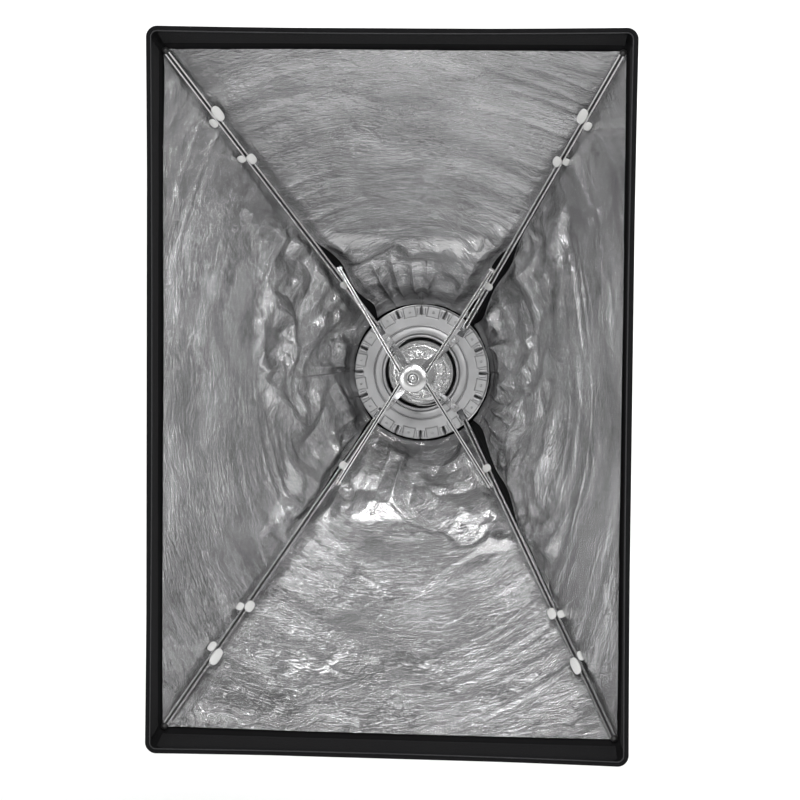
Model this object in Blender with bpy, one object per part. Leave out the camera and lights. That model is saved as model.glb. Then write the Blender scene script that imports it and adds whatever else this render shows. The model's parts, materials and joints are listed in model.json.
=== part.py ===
"""Rectangular quick-open softbox, 60 x 90 cm, with its diffusers off.

Metres. The lamp axis is Y: the open front faces -Y, the light's mount meets the part at y = 0.
X is to the right and Z is up when the box is seen from its open side. Depths are measured
forward from the mount plane, so a depth d lies at y = -d.
"""
import bmesh
import bpy
import numpy as np
from math import atan2, cos, pi, radians, sin, sqrt
from mathutils import Matrix, Vector

GAP = 0.0003

# front opening and cloth
HALF_W = 0.300
HALF_H = 0.450
FRONT_DEPTH = 0.440
SEAM_HALF_W = 0.2935
SEAM_HALF_H = 0.4355
SEAM_DEPTH = 0.414
LINING_DEPTH = 0.404
BACK_DEPTH = 0.020
CLOTH_RING_R = 0.097
CLOTH = 0.0008
LINING_INSET = 0.0022
LINING = 0.0005
BINDING = 0.004
TAPE = 0.0012
TAPE_INSET = 0.0014
SEAM_GAP = 0.00025

# speed ring
THROAT_R = 0.048
RING_R = 0.090
RING_BACK = 0.0085
RING_FRONT = 0.040
BAND_R = 0.064
PAD_DEPTH = 0.0385
BORE_R = 0.0518
CAP_R = 0.0437
CAP_WALL = 0.0012
CAP_GRIP_R = 0.0477
CAP_BACK = -0.0040
CAP_FRONT = 0.0385
SLOTS = 16
SLOT_INNER_R = 0.070
SLOT_FLOOR = 0.026
SPARE_SLOT = 0.006
USED_SLOT = 0.008

# ribs, which swing in upright planes that pass beside the lamp axis
RIB_PIVOT = (0.055, 0.055)
RIB_PIVOT_DEPTH = 0.034
RIB_TIP = (0.2836, 0.4242)
RIB_TIP_DEPTH = 0.412
RIB_SIZE = 0.0068
RIB_WALL = 0.001
ROOT_WIDTH = 0.0066
ROOT_BACK = 0.005
ROOT_LENGTH = 0.013
TIP_LENGTH = 0.012
PIN_R = 0.002
PIN_LENGTH = 0.015

# struts and hub
JOINT_AT = 0.130
STRUT_OFFSET = 0.0109
STRUT_WIDTH = 0.0044
STRUT_HEIGHT = 0.005
STRUT_GROOVE = 0.0026
STRUT_END = 0.0035
RIVET_R = 0.0013
RIVET_HEAD = 0.0012
HUB_PIVOT_S = 0.012
HUB_PIVOT_DEPTH = 0.136
HUB_R = 0.0185
HUB_BACK = 0.130
HUB_FRONT = 0.142
HUB_SLOT = 0.0052
HUB_PIN_R = 0.0012
HUB_PIN_LENGTH = 0.0078
DISC_R = 0.019
DISC_FRONT = 0.1462
RECESS_R = 0.0066
STEM_R = 0.0068
STEM_BACK = 0.104

# lock spider
SPIDER_R = 0.0158
SPIDER_BORE = 0.0112
SPIDER_DEPTH = 0.108
LEG_WIDTH = 0.009
LEG_THICK = 0.0025
LEG_FOOT = (0.0555, 0.0690)
SCREW_AT = 0.0625
SCREW_R = 0.0030
SCREW_HEAD = 0.0020
SOCKET_R = 0.0108
SOCKET_BORE = 0.0073

CORNERS = {"tr": (1, 1), "tl": (-1, 1), "br": (1, -1), "bl": (-1, -1)}


def clear_scene():
    for obj in list(bpy.data.objects):
        bpy.data.objects.remove(obj, do_unlink=True)


def material(name, color, roughness, metallic=0.0):
    found = bpy.data.materials.get(name)
    if found:
        return found
    made = bpy.data.materials.new(name)
    made.use_nodes = True
    shader = made.node_tree.nodes["Principled BSDF"]
    shader.inputs["Base Color"].default_value = (*color, 1.0)
    shader.inputs["Roughness"].default_value = roughness
    shader.inputs["Metallic"].default_value = metallic
    return made


FINISHES = {
    "cast_alloy": ((0.42, 0.42, 0.42), 0.45, 0.9),
    "bright_alloy": ((0.80, 0.80, 0.80), 0.30, 1.0),
    "steel": ((0.55, 0.55, 0.56), 0.35, 1.0),
    "black_cloth": ((0.02, 0.02, 0.02), 0.90, 0.0),
    "silver_lining": ((0.75, 0.75, 0.76), 0.35, 0.8),
    "black_tape": ((0.03, 0.03, 0.03), 0.95, 0.0),
    "black_plastic": ((0.03, 0.03, 0.03), 0.50, 0.0),
}


def add(name, bm, finish, smooth=False):
    """Puts a bmesh into the scene as one named object with its own finish."""
    bmesh.ops.recalc_face_normals(bm, faces=bm.faces)
    mesh = bpy.data.meshes.new(name)
    bm.to_mesh(mesh)
    bm.free()
    color, roughness, metallic = FINISHES[finish]
    mesh.materials.append(material(f"{name}_{finish}", color, roughness, metallic))
    if smooth:
        mesh.shade_smooth()
        mesh.set_sharp_from_angle(angle=radians(35))
    obj = bpy.data.objects.new(name, mesh)
    bpy.context.scene.collection.objects.link(obj)
    return obj


def cut(obj, cutter_bm, name):
    """Takes a cutter away from an object and keeps the cutter hidden."""
    cutter = add(name, cutter_bm, "steel")
    cutter.hide_render = True
    cutter.display_type = "WIRE"
    step = obj.modifiers.new(name, "BOOLEAN")
    step.operation = "DIFFERENCE"
    step.solver = "EXACT"
    step.object = cutter
    return cutter


def merge(obj, tool):
    """Unions a hidden helper solid into an object."""
    tool.hide_render = True
    tool.display_type = "WIRE"
    step = obj.modifiers.new(tool.name, "BOOLEAN")
    step.operation = "UNION"
    step.solver = "EXACT"
    step.object = tool


def turned(profile, steps):
    """A closed (radius, depth) outline spun round the lamp axis."""
    bm = bmesh.new()
    verts = [bm.verts.new((r, -d, 0.0)) for r, d in profile]
    edges = [bm.edges.new((verts[i], verts[i - 1])) for i in range(len(verts))]
    bmesh.ops.spin(bm, geom=verts + edges, cent=(0, 0, 0), axis=(0, 1, 0), angle=2 * pi,
                   steps=steps, use_merge=True, use_duplicate=False)
    bmesh.ops.remove_doubles(bm, verts=bm.verts, dist=1e-6)
    return bm


def ring_outline(inner, outer, back, front):
    return [(inner, back), (outer, back), (outer, front), (inner, front)]


def rod(bm, centre, along, radius, length, sides=12):
    """Adds a cylinder to a bmesh."""
    turn = Vector((0, 0, 1)).rotation_difference(Vector(along)).to_matrix().to_4x4()
    bmesh.ops.create_cone(bm, cap_ends=True, segments=sides, radius1=radius, radius2=radius,
                          depth=length, matrix=Matrix.Translation(centre) @ turn)


def add_rod(name, centre, along, radius, length, finish):
    """A pin, screw head or rivet as an object of its own."""
    bm = bmesh.new()
    rod(bm, centre, along, radius, length)
    add(name, bm, finish, smooth=True)


def block(bm, size, place):
    """Adds a cuboid whose axes are the columns of the placing matrix."""
    bmesh.ops.create_cube(bm, size=1.0, matrix=place @ Matrix.Diagonal((*size, 1.0)))


def extruded(outline, thickness, place):
    """A flat outline in the placing matrix's first two axes, thickened along the third."""
    bm = bmesh.new()
    verts = [bm.verts.new((a, b, -thickness / 2)) for a, b in outline]
    face = bm.faces.new(verts)
    made = bmesh.ops.extrude_face_region(bm, geom=[face])
    moved = [v for v in made["geom"] if isinstance(v, bmesh.types.BMVert)]
    bmesh.ops.translate(bm, verts=moved, vec=(0, 0, thickness))
    bmesh.ops.transform(bm, matrix=place, verts=bm.verts)
    return bm


class RibPlane:
    """The upright plane in which one rib and, beside it, one strut swing.

    u is the plane's level direction, away from the lamp axis, and n is square to it. A point
    is given by its distance s along u, its depth d and its distance off from the axis along n.
    """

    def __init__(self, corner):
        self.sx, self.sz = CORNERS[corner]
        run = (RIB_TIP[0] - RIB_PIVOT[0], RIB_TIP[1] - RIB_PIVOT[1])
        self.run = sqrt(run[0] ** 2 + run[1] ** 2)
        ux, uz = run[0] / self.run, run[1] / self.run
        self.u = Vector((ux * self.sx, 0, uz * self.sz))
        self.n = Vector((uz * self.sx, 0, -ux * self.sz))
        self.pivot_s = RIB_PIVOT[0] * ux + RIB_PIVOT[1] * uz
        self.rib_off = RIB_PIVOT[0] * uz - RIB_PIVOT[1] * ux
        self.rib_angle = atan2(self.run, RIB_TIP_DEPTH - RIB_PIVOT_DEPTH)
        self.rib_length = sqrt(self.run ** 2 + (RIB_TIP_DEPTH - RIB_PIVOT_DEPTH) ** 2)
        joint_s = self.pivot_s + JOINT_AT * sin(self.rib_angle)
        joint_d = RIB_PIVOT_DEPTH + JOINT_AT * cos(self.rib_angle)
        self.strut_angle = atan2(joint_s - HUB_PIVOT_S, joint_d - HUB_PIVOT_DEPTH)
        self.strut_length = sqrt((joint_s - HUB_PIVOT_S) ** 2 + (joint_d - HUB_PIVOT_DEPTH) ** 2)

    def point(self, s, depth, off):
        return self.u * s + self.n * off + Vector((0, -depth, 0))

    def frame(self, s, depth, off, angle):
        """Columns: along the bar at that angle from forward, square to it in plane, n."""
        along = self.u * sin(angle) + Vector((0, -cos(angle), 0))
        across = self.n.cross(along)
        place = Matrix((along, across, self.n)).transposed().to_4x4()
        place.translation = self.point(s, depth, off)
        return place

    def rib(self):
        return self.frame(self.pivot_s, RIB_PIVOT_DEPTH, self.rib_off, self.rib_angle)

    def strut(self):
        return self.frame(HUB_PIVOT_S, HUB_PIVOT_DEPTH, STRUT_OFFSET, self.strut_angle)

    def open_side(self, place):
        """Which way along the second column faces the lamp axis and the open front."""
        inward = Vector((0, -1, 0)) * 0.7 - self.u
        return 1.0 if place.col[1].xyz.dot(inward) > 0 else -1.0


PLANES = {corner: RibPlane(corner) for corner in CORNERS}


def mount_insert():
    """Bayonet tube that the light grips, with its flange against the light's mount."""
    tube_r = THROAT_R + 0.0035
    profile = [(THROAT_R, -0.0095), (tube_r, -0.0095), (tube_r, 0.0), (0.064, 0.0),
               (0.064, 0.004), (tube_r, 0.004), (tube_r, 0.0118), (THROAT_R, 0.0118)]
    insert = add("mount_insert", turned(profile, 48), "bright_alloy", smooth=True)
    for i in range(3):
        middle = radians(90 + 120 * i)
        lug = add(f"mount_lug_{i}", lug_arc(middle, radians(32), tube_r - 0.001, 0.0562,
                                             0.0068, 0.0095), "bright_alloy")
        merge(insert, lug)


def throat_cap():
    """Dust cap pushed into the insert's tube: a cup with a stepped front and a grip flange."""
    inner = CAP_R - CAP_WALL
    face = CAP_FRONT - 0.0024
    profile = [(0.0, face - CAP_WALL), (inner, face - CAP_WALL), (inner, CAP_BACK),
               (CAP_GRIP_R, CAP_BACK), (CAP_GRIP_R, CAP_BACK + CAP_WALL),
               (CAP_R, CAP_BACK + CAP_WALL), (CAP_R, CAP_FRONT), (0.0408, CAP_FRONT),
               (0.0398, face), (0.0350, face), (0.0340, face + 0.0008), (0.0330, face),
               (0.0205, face), (0.0195, face + 0.0016), (0.0, face + 0.0016)]
    add("throat_cap", solid_turned(profile, 36), "bright_alloy", smooth=True)


def lug_arc(middle, span, inner, outer, low, high):
    """A block bent round the lamp axis, from y = low to y = high."""
    steps = 6
    outline = []
    for k in range(steps + 1):
        t = middle + span * (k / steps - 0.5)
        outline.append((outer * cos(t), outer * sin(t)))
    for k in range(steps + 1):
        t = middle + span * (0.5 - k / steps)
        outline.append((inner * cos(t), inner * sin(t)))
    place = Matrix(((1, 0, 0, 0), (0, 0, 1, (low + high) / 2), (0, 1, 0, 0), (0, 0, 0, 1)))
    return extruded(outline, high - low, place)


def insert_parts():
    mount_insert()
    throat_cap()
    add("retainer_ring", turned(ring_outline(0.0518, 0.060, 0.0085, 0.0115), 48), "steel",
        smooth=True)


def slot_cutter(place, width, inner, depth_floor):
    """A slot from an inner point outwards past the ring's rim and forward past its face."""
    bm = bmesh.new()
    length = 0.040
    height = RING_FRONT - depth_floor + 0.01
    block(bm, (length, height, width),
          place @ Matrix.Translation((inner + length / 2, -(depth_floor + height / 2), 0)))
    return bm


def level_place(angle):
    """Level direction at an angle round the lamp axis as the first column, then Y, then side."""
    u = Vector((cos(angle), 0, sin(angle)))
    side = u.cross(Vector((0, 1, 0)))
    return Matrix((u, Vector((0, 1, 0)), side)).transposed().to_4x4()


def ring_casting():
    """The cast ring: a band round the throat, a lower outer zone, 16 slots and pin holes."""
    profile = [(0.0615, RING_BACK), (RING_R - 0.002, RING_BACK), (RING_R, RING_BACK + 0.002),
               (RING_R, PAD_DEPTH - 0.001), (RING_R - 0.001, PAD_DEPTH), (BAND_R, PAD_DEPTH),
               (BAND_R - 0.0008, RING_FRONT), (0.0612, RING_FRONT), (0.0608, RING_FRONT - 0.001),
               (0.0596, RING_FRONT - 0.001), (0.0592, RING_FRONT), (0.0535, RING_FRONT),
               (BORE_R, RING_FRONT - 0.001), (BORE_R, 0.0122), (0.0615, 0.0122)]
    casting = add("ring_casting", turned(profile, 64), "cast_alloy", smooth=True)
    bm = bmesh.new()
    for i in range(SLOTS):
        if i % 4 == 2:
            continue
        part = slot_cutter(level_place(2 * pi * i / SLOTS), SPARE_SLOT, SLOT_INNER_R, SLOT_FLOOR)
        join(bm, part)
    for plane in PLANES.values():
        place = Matrix((plane.u, Vector((0, 1, 0)), plane.n)).transposed().to_4x4()
        place.translation = plane.n * plane.rib_off
        join(bm, slot_cutter(place, USED_SLOT, plane.pivot_s - 0.0075, SLOT_FLOOR - 0.001))
    cut(casting, bm, "ring_slots_cutter")
    bm = bmesh.new()
    for plane in PLANES.values():
        rod(bm, plane.point(plane.pivot_s, RIB_PIVOT_DEPTH, plane.rib_off), plane.n,
            PIN_R + GAP, PIN_LENGTH + 2 * GAP)
    cut(casting, bm, "ring_pins_cutter")


def join(bm, other):
    """Copies one bmesh into another and frees it."""
    mesh = bpy.data.meshes.new("joined")
    other.to_mesh(mesh)
    other.free()
    bm.from_mesh(mesh)
    bpy.data.meshes.remove(mesh)


def ring_parts():
    ring_casting()
    add("throat_band", turned(ring_outline(THROAT_R, BORE_R - GAP, 0.0125, 0.0415), 48),
        "cast_alloy", smooth=True)
    add("back_plate", turned(ring_outline(0.0545, 0.088, 0.0043, 0.0082), 48), "cast_alloy",
        smooth=True)
    for corner, plane in PLANES.items():
        pivot = plane.point(plane.pivot_s, RIB_PIVOT_DEPTH, plane.rib_off)
        add_rod(f"rib_pin_{corner}", pivot, plane.n, PIN_R, PIN_LENGTH, "steel")


def channel(size_across, size_high, wall, start, end, place, open_side):
    """A U-channel from start to end along the placing matrix's first column."""
    w = size_across / 2
    h = size_high / 2 * open_side
    floor = h - (size_high - wall) * open_side
    outline = [(-h, -w), (-h, w), (h, w), (h, w - wall), (floor, w - wall),
               (floor, -w + wall), (h, -w + wall), (h, -w)]
    turn = Matrix(((0, 0, 1, (start + end) / 2), (1, 0, 0, 0), (0, 1, 0, 0), (0, 0, 0, 1)))
    return extruded(outline, end - start, place @ turn)


def rib_parts(corner):
    plane = PLANES[corner]
    place = plane.rib()
    side = plane.open_side(place)
    length = plane.rib_length
    add(f"rib_{corner}", channel(RIB_SIZE, RIB_SIZE, RIB_WALL, ROOT_LENGTH + GAP,
                                 length - TIP_LENGTH + 0.003, place, side), "bright_alloy")
    bm = bmesh.new()
    block(bm, (ROOT_BACK + ROOT_LENGTH, 0.0064, ROOT_WIDTH),
          place @ Matrix.Translation(((ROOT_LENGTH - ROOT_BACK) / 2, 0, 0)))
    root = add(f"rib_root_{corner}", bm, "steel")
    bm = bmesh.new()
    rod(bm, place.translation, plane.n, PIN_R + GAP, 0.012)
    cut(root, bm, f"root_{corner}_cutter")
    bm = bmesh.new()
    start = length - TIP_LENGTH + 0.003 + GAP
    rod(bm, place @ Vector(((start + length) / 2, 0, 0)), place.col[0].xyz, 0.004,
        length - start)
    add(f"rib_tip_{corner}", bm, "black_plastic", smooth=True)


def strut_parts(corner):
    plane = PLANES[corner]
    place = plane.strut()
    length = plane.strut_length
    half = STRUT_HEIGHT / 2
    outline = []
    for middle, turn in ((length, -pi / 2), (0.0, pi / 2)):
        for k in range(7):
            t = turn + pi * k / 6
            outline.append((middle + half * cos(t), half * sin(t)))
    strut = add(f"strut_{corner}", extruded(outline, STRUT_WIDTH, place), "bright_alloy")
    inward = 1.0 if place.col[1].xyz.dot(Vector((0, -1, 0))) > 0 else -1.0
    bm = bmesh.new()
    block(bm, (length - 0.016, STRUT_HEIGHT, STRUT_GROOVE),
          place @ Matrix.Translation((length / 2, inward * 0.0012, 0)))
    end = place @ Vector((length, 0, 0))
    rod(bm, place.translation, plane.n, HUB_PIN_R + GAP, 0.012)
    rod(bm, end, plane.n, RIVET_R + GAP, 0.012)
    cut(strut, bm, f"strut_{corner}_cutter")
    head_off = -STRUT_WIDTH / 2 - RIVET_HEAD
    rib_face_off = plane.rib_off - STRUT_OFFSET - RIB_SIZE / 2 - GAP
    add_rod(f"strut_rivet_{corner}", end + plane.n * (head_off + rib_face_off) / 2, plane.n,
            RIVET_R, rib_face_off - head_off, "steel")


def hub_parts():
    """Hub body with four strut slots, a stem for the lock socket, and the domed disc."""
    profile = [(0.0, STEM_BACK), (STEM_R - 0.001, STEM_BACK), (STEM_R, STEM_BACK + 0.001),
               (STEM_R, HUB_BACK), (HUB_R, HUB_BACK), (HUB_R, HUB_FRONT),
               (RECESS_R, HUB_FRONT), (RECESS_R, HUB_FRONT - 0.0055), (0.0, HUB_FRONT - 0.0055)]
    body = add("hub_body", solid_turned(profile, 32), "cast_alloy", smooth=True)
    bm = bmesh.new()
    for plane in PLANES.values():
        place = Matrix((plane.u, Vector((0, 1, 0)), plane.n)).transposed().to_4x4()
        reach = HUB_R
        low = HUB_BACK - 0.001
        high = HUB_PIVOT_DEPTH + STRUT_END
        place.translation = plane.point(HUB_PIVOT_S - STRUT_END + reach / 2, 0, STRUT_OFFSET)
        block(bm, (reach, high - low, HUB_SLOT),
              place @ Matrix.Translation((0, -(low + high) / 2, 0)))
    cut(body, bm, "hub_slots_cutter")
    bm = bmesh.new()
    for plane in PLANES.values():
        rod(bm, plane.point(HUB_PIVOT_S, HUB_PIVOT_DEPTH, STRUT_OFFSET), plane.n,
            HUB_PIN_R + GAP, HUB_PIN_LENGTH + 2 * GAP)
    cut(body, bm, "hub_pins_cutter")
    for corner, plane in PLANES.items():
        add_rod(f"hub_pin_{corner}", plane.point(HUB_PIVOT_S, HUB_PIVOT_DEPTH, STRUT_OFFSET),
                plane.n, HUB_PIN_R, HUB_PIN_LENGTH, "steel")
    dome = []
    for k in range(6):
        r = RECESS_R + (DISC_R - RECESS_R) * k / 5
        dome.append((r, DISC_FRONT - 0.0022 * (r / DISC_R) ** 2))
    profile = [(DISC_R, HUB_FRONT + GAP), (RECESS_R, HUB_FRONT + GAP)] + dome
    add("hub_disc", turned(profile, 32), "bright_alloy", smooth=True)


def solid_turned(profile, steps):
    """A (radius, depth) outline that starts and ends on the lamp axis, spun into a solid."""
    bm = bmesh.new()
    verts = [bm.verts.new((r, -d, 0.0)) for r, d in profile]
    edges = [bm.edges.new((verts[i], verts[i + 1])) for i in range(len(verts) - 1)]
    bmesh.ops.spin(bm, geom=verts + edges, cent=(0, 0, 0), axis=(0, 1, 0), angle=2 * pi,
                   steps=steps, use_merge=True, use_duplicate=False)
    bmesh.ops.remove_doubles(bm, verts=bm.verts, dist=1e-6)
    return bm


def button_parts():
    """Release ball in the disc's recess, on a coil spring."""
    ball_r = 0.0036
    ball_depth = DISC_FRONT - 0.0018
    profile = [(0.0, HUB_FRONT - 0.0022), (0.0050, HUB_FRONT - 0.0022),
               (0.0050, HUB_FRONT - 0.0010), (0.0024, HUB_FRONT - 0.0006)]
    for k in range(7):
        t = radians(-40) + radians(130) * k / 6
        profile.append((ball_r * cos(t), ball_depth + ball_r * sin(t)))
    profile[-1] = (0.0, profile[-1][1])
    add("hub_button", solid_turned(profile, 16), "bright_alloy", smooth=True)
    add("button_spring", spring(0.0042, 0.00035, 3.0, HUB_FRONT - 0.0050,
                                HUB_FRONT - 0.0028), "steel", smooth=True)


def spring(radius, wire, turns, low_depth, high_depth):
    """A round wire swept along a helix, with its two ends closed."""
    steps = int(turns * 12)
    sides = 5
    t = np.linspace(0.0, turns * 2 * pi, steps + 1)
    depth = np.linspace(low_depth, high_depth, steps + 1)
    around = np.arange(sides) * 2 * pi / sides
    r = radius + wire * np.cos(around)[None, :]
    x = r * np.cos(t)[:, None]
    z = r * np.sin(t)[:, None]
    y = -depth[:, None] + wire * np.sin(around)[None, :]
    points = np.stack([x, y, z], axis=2).reshape(-1, 3)
    bm = bmesh.new()
    verts = [bm.verts.new(p) for p in points]
    rows = [verts[i * sides:(i + 1) * sides] for i in range(steps + 1)]
    for a, b in zip(rows, rows[1:]):
        for k in range(sides):
            bm.faces.new((a[k], a[k - 1], b[k - 1], b[k]))
    bm.faces.new(rows[0])
    bm.faces.new(rows[-1][::-1])
    return bm


def spider_parts():
    """Four bent legs from the ring to a middle eye, and the socket that the hub clicks into."""
    eye = ring_outline(SPIDER_BORE, SPIDER_R, SPIDER_DEPTH, SPIDER_DEPTH + 0.003)
    spider = add("lock_spider", turned(eye, 32), "bright_alloy", smooth=True)
    foot_in, foot_out = LEG_FOOT
    low = RING_FRONT + GAP
    top = SPIDER_DEPTH + 0.0004
    inner = (SPIDER_R + SPIDER_BORE) / 2
    lean = LEG_THICK * 1.25
    outline = [(foot_out, low), (foot_out, low + LEG_THICK), (foot_in, low + LEG_THICK),
               (inner + 0.002, top + LEG_THICK), (inner, top + LEG_THICK), (inner, top),
               (inner + 0.002 - lean * 0.3, top), (foot_in - lean, low)]
    for corner, (sx, sz) in CORNERS.items():
        out = Vector((sx, 0, sz)).normalized()
        forward = Vector((0, -1, 0))
        place = Matrix((out, forward, out.cross(forward))).transposed().to_4x4()
        leg = add(f"leg_{corner}", extruded(outline, LEG_WIDTH, place), "bright_alloy")
        merge(spider, leg)
    head_depth = low + LEG_THICK + GAP + SCREW_HEAD / 2
    for corner, (sx, sz) in CORNERS.items():
        out = Vector((sx, 0, sz)).normalized() * SCREW_AT
        add_rod(f"spider_screw_{corner}", out - Vector((0, head_depth, 0)), (0, 1, 0), SCREW_R,
                SCREW_HEAD, "steel")
    profile = [(SOCKET_BORE, SPIDER_DEPTH - 0.006), (SOCKET_R, SPIDER_DEPTH - 0.006),
               (SOCKET_R, SPIDER_DEPTH + 0.0034), (0.0135, SPIDER_DEPTH + 0.0034),
               (0.0135, SPIDER_DEPTH + 0.0054), (0.0098, SPIDER_DEPTH + 0.0150),
               (SOCKET_BORE, SPIDER_DEPTH + 0.0150)]
    add("lock_socket", turned(profile, 32), "steel", smooth=True)


def wall_section(side, depth, inset, share):
    """A point of the cloth at a depth: share runs 0 to 1 from one seam of the wall to the next.

    The cloth is ruled from a quarter of the ring's circle to the straight edge at the rib tips,
    and on from there to the straight front edge.
    """
    turn = {"right": 0, "top": 1, "left": 2, "bottom": 3}[side]
    ring = CLOTH_RING_R - inset
    seam = (SEAM_HALF_W - inset, SEAM_HALF_H - inset)
    front = (HALF_W - inset, HALF_H - inset)
    edge_gap = SEAM_GAP
    start = -pi / 4 + turn * pi / 2
    t = start + edge_gap / ring + share * (pi / 2 - 2 * edge_gap / ring)
    arc = np.array([ring * cos(t), ring * sin(t)])

    def straight(half):
        corners = [(1, -1), (1, 1), (-1, 1), (-1, -1)]
        a = np.array(corners[turn]) * half
        b = np.array(corners[(turn + 1) % 4]) * half
        pull = (b - a) / np.linalg.norm(b - a) * edge_gap
        return (a + pull) * (1 - share) + (b - pull) * share

    if depth <= SEAM_DEPTH:
        k = (depth - BACK_DEPTH) / (SEAM_DEPTH - BACK_DEPTH)
        flat = arc * (1 - k) + straight(np.array(seam)) * k
    else:
        k = (depth - SEAM_DEPTH) / (FRONT_DEPTH - SEAM_DEPTH)
        flat = straight(np.array(seam)) * (1 - k) + straight(np.array(front)) * k
    return Vector((flat[0], -depth, flat[1]))


def wall_panel(side, depths, inset, thick, across, low=0.0, high=1.0):
    """A closed cloth panel between two depths, thickened towards the lamp axis."""
    bm = bmesh.new()
    shares = [low + (high - low) * k / across for k in range(across + 1)]
    sheets = []
    for extra in (0.0, thick):
        sheets.append([[bm.verts.new(wall_section(side, d, inset + extra, s)) for s in shares]
                       for d in depths])
    for sheet in sheets:
        for a, b in zip(sheet, sheet[1:]):
            for k in range(across):
                bm.faces.new((a[k], a[k + 1], b[k + 1], b[k]))
    outer, inner = sheets
    rim = [(outer[0], inner[0]), (outer[-1], inner[-1]),
           ([row[0] for row in outer], [row[0] for row in inner]),
           ([row[-1] for row in outer], [row[-1] for row in inner])]
    for a, b in rim:
        for k in range(len(a) - 1):
            bm.faces.new((a[k], a[k + 1], b[k + 1], b[k]))
    return bm


def cloth_parts():
    for side in ("top", "bottom", "left", "right"):
        binding_back = FRONT_DEPTH - BINDING - GAP
        add(f"shell_{side}", wall_panel(side, (BACK_DEPTH, 0.15, 0.28, SEAM_DEPTH, binding_back),
                                        0.0, CLOTH, 10), "black_cloth")
        add(f"lining_{side}", wall_panel(side, (BACK_DEPTH + 0.006, 0.15, 0.28, LINING_DEPTH),
                                         LINING_INSET, LINING, 10, 0.008, 0.992),
            "silver_lining")
        add(f"velcro_{side}", wall_panel(side, (SEAM_DEPTH + 0.002, binding_back - 0.001),
                                         TAPE_INSET, TAPE, 2, 0.03, 0.97), "black_tape")
    edge_binding()
    add("collar", turned(ring_outline(RING_R + 0.0006, RING_R + 0.0036, 0.013, 0.030), 48),
        "black_cloth", smooth=True)


def edge_binding():
    """The bound hem round the open front: a frame whose corners are rounded."""
    bm = bmesh.new()
    rings = []
    for inset, depth in ((-0.0008, FRONT_DEPTH), (-0.0008, FRONT_DEPTH - BINDING),
                         (0.0034, FRONT_DEPTH - BINDING), (0.0034, FRONT_DEPTH)):
        radius = 0.010 - inset
        loop = []
        for start, (cx, cz) in zip((0, 90, 180, 270), ((1, 1), (-1, 1), (-1, -1), (1, -1))):
            for k in range(5):
                t = radians(start + 90 * k / 4)
                x = cx * (HALF_W - inset - radius) + radius * cos(t)
                z = cz * (HALF_H - inset - radius) + radius * sin(t)
                loop.append(bm.verts.new((x, -depth, z)))
        rings.append(loop)
    for i, ring in enumerate(rings):
        other = rings[(i + 1) % 4]
        for k in range(len(ring)):
            bm.faces.new((ring[k - 1], ring[k], other[k], other[k - 1]))
    add("edge_binding", bm, "black_tape", smooth=True)


def main():
    clear_scene()
    insert_parts()
    ring_parts()
    spider_parts()
    hub_parts()
    button_parts()
    for corner in CORNERS:
        rib_parts(corner)
        strut_parts(corner)
    cloth_parts()


main()
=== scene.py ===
"""Rectangular quick-open softbox: cloth, metal and studio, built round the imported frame.

Run as a script. Metres; the lamp axis is Y, the open front faces -Y, Z is up. A depth is a
distance forward of the light's mount, so a depth d lies at y = -d.
"""

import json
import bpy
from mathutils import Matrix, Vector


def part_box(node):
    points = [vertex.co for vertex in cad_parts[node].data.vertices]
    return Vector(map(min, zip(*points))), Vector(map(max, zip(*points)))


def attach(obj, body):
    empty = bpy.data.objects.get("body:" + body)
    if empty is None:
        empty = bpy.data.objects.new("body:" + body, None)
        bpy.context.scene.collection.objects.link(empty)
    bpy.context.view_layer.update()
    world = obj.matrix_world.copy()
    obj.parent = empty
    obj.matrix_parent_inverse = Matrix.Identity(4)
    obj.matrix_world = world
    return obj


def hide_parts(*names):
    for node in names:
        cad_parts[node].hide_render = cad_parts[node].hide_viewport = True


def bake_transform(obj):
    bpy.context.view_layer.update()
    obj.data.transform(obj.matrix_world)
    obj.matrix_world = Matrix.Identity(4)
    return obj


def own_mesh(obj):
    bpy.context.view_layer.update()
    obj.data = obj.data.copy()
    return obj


bl_info = {
    "name": "Rectangular softbox builder",
    "version": (1, 0, 0),
    "blender": (4, 5, 0),
    "location": "3D View > Sidebar > Softbox",
    "description": "Builds a quick-open softbox: cloth, ribs, speed ring, hub and studio",
    "category": "Add Mesh",
}

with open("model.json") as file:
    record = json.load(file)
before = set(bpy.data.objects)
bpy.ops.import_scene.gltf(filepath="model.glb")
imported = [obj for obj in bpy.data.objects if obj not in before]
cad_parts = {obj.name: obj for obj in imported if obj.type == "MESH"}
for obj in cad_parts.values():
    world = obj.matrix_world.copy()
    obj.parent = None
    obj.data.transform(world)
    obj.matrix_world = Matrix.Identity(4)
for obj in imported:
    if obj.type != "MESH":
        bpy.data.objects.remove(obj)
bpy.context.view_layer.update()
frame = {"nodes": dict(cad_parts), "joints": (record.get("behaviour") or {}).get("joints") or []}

import bpy
import numpy as np
from bpy.props import FloatProperty, FloatVectorProperty, PointerProperty
from math import atan2, cos, pi, radians, sin, sqrt
from mathutils import Matrix, Vector

SIDES = ("right", "top", "left", "bottom")
CORNERS = {"tr": (1, 1), "tl": (-1, 1), "br": (1, -1), "bl": (-1, -1)}
CORNER_AT_END = {"right": ("br", "tr"), "top": ("tr", "tl"), "left": ("tl", "bl"),
                 "bottom": ("bl", "br")}
CORNER_RADIUS = 0.0105      # round of the cloth's front corners
HEM_INSET = 0.0016          # front edge to the middle of the rolled hem
HEM_RADIUS = 0.011          # round of the hem's corners
HEM_BOW = 0.0022            # how far the hem bows in at the middle of a side


def box_half(node, axis):
    low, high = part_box(node)
    return (high[axis] - low[axis]) / 2


def front_of(node):
    return -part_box(node)[0][1]


def back_of(node):
    return -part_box(node)[1][1]


def joint(name):
    return next(j for j in frame["joints"] if j["name"] == name)


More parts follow.
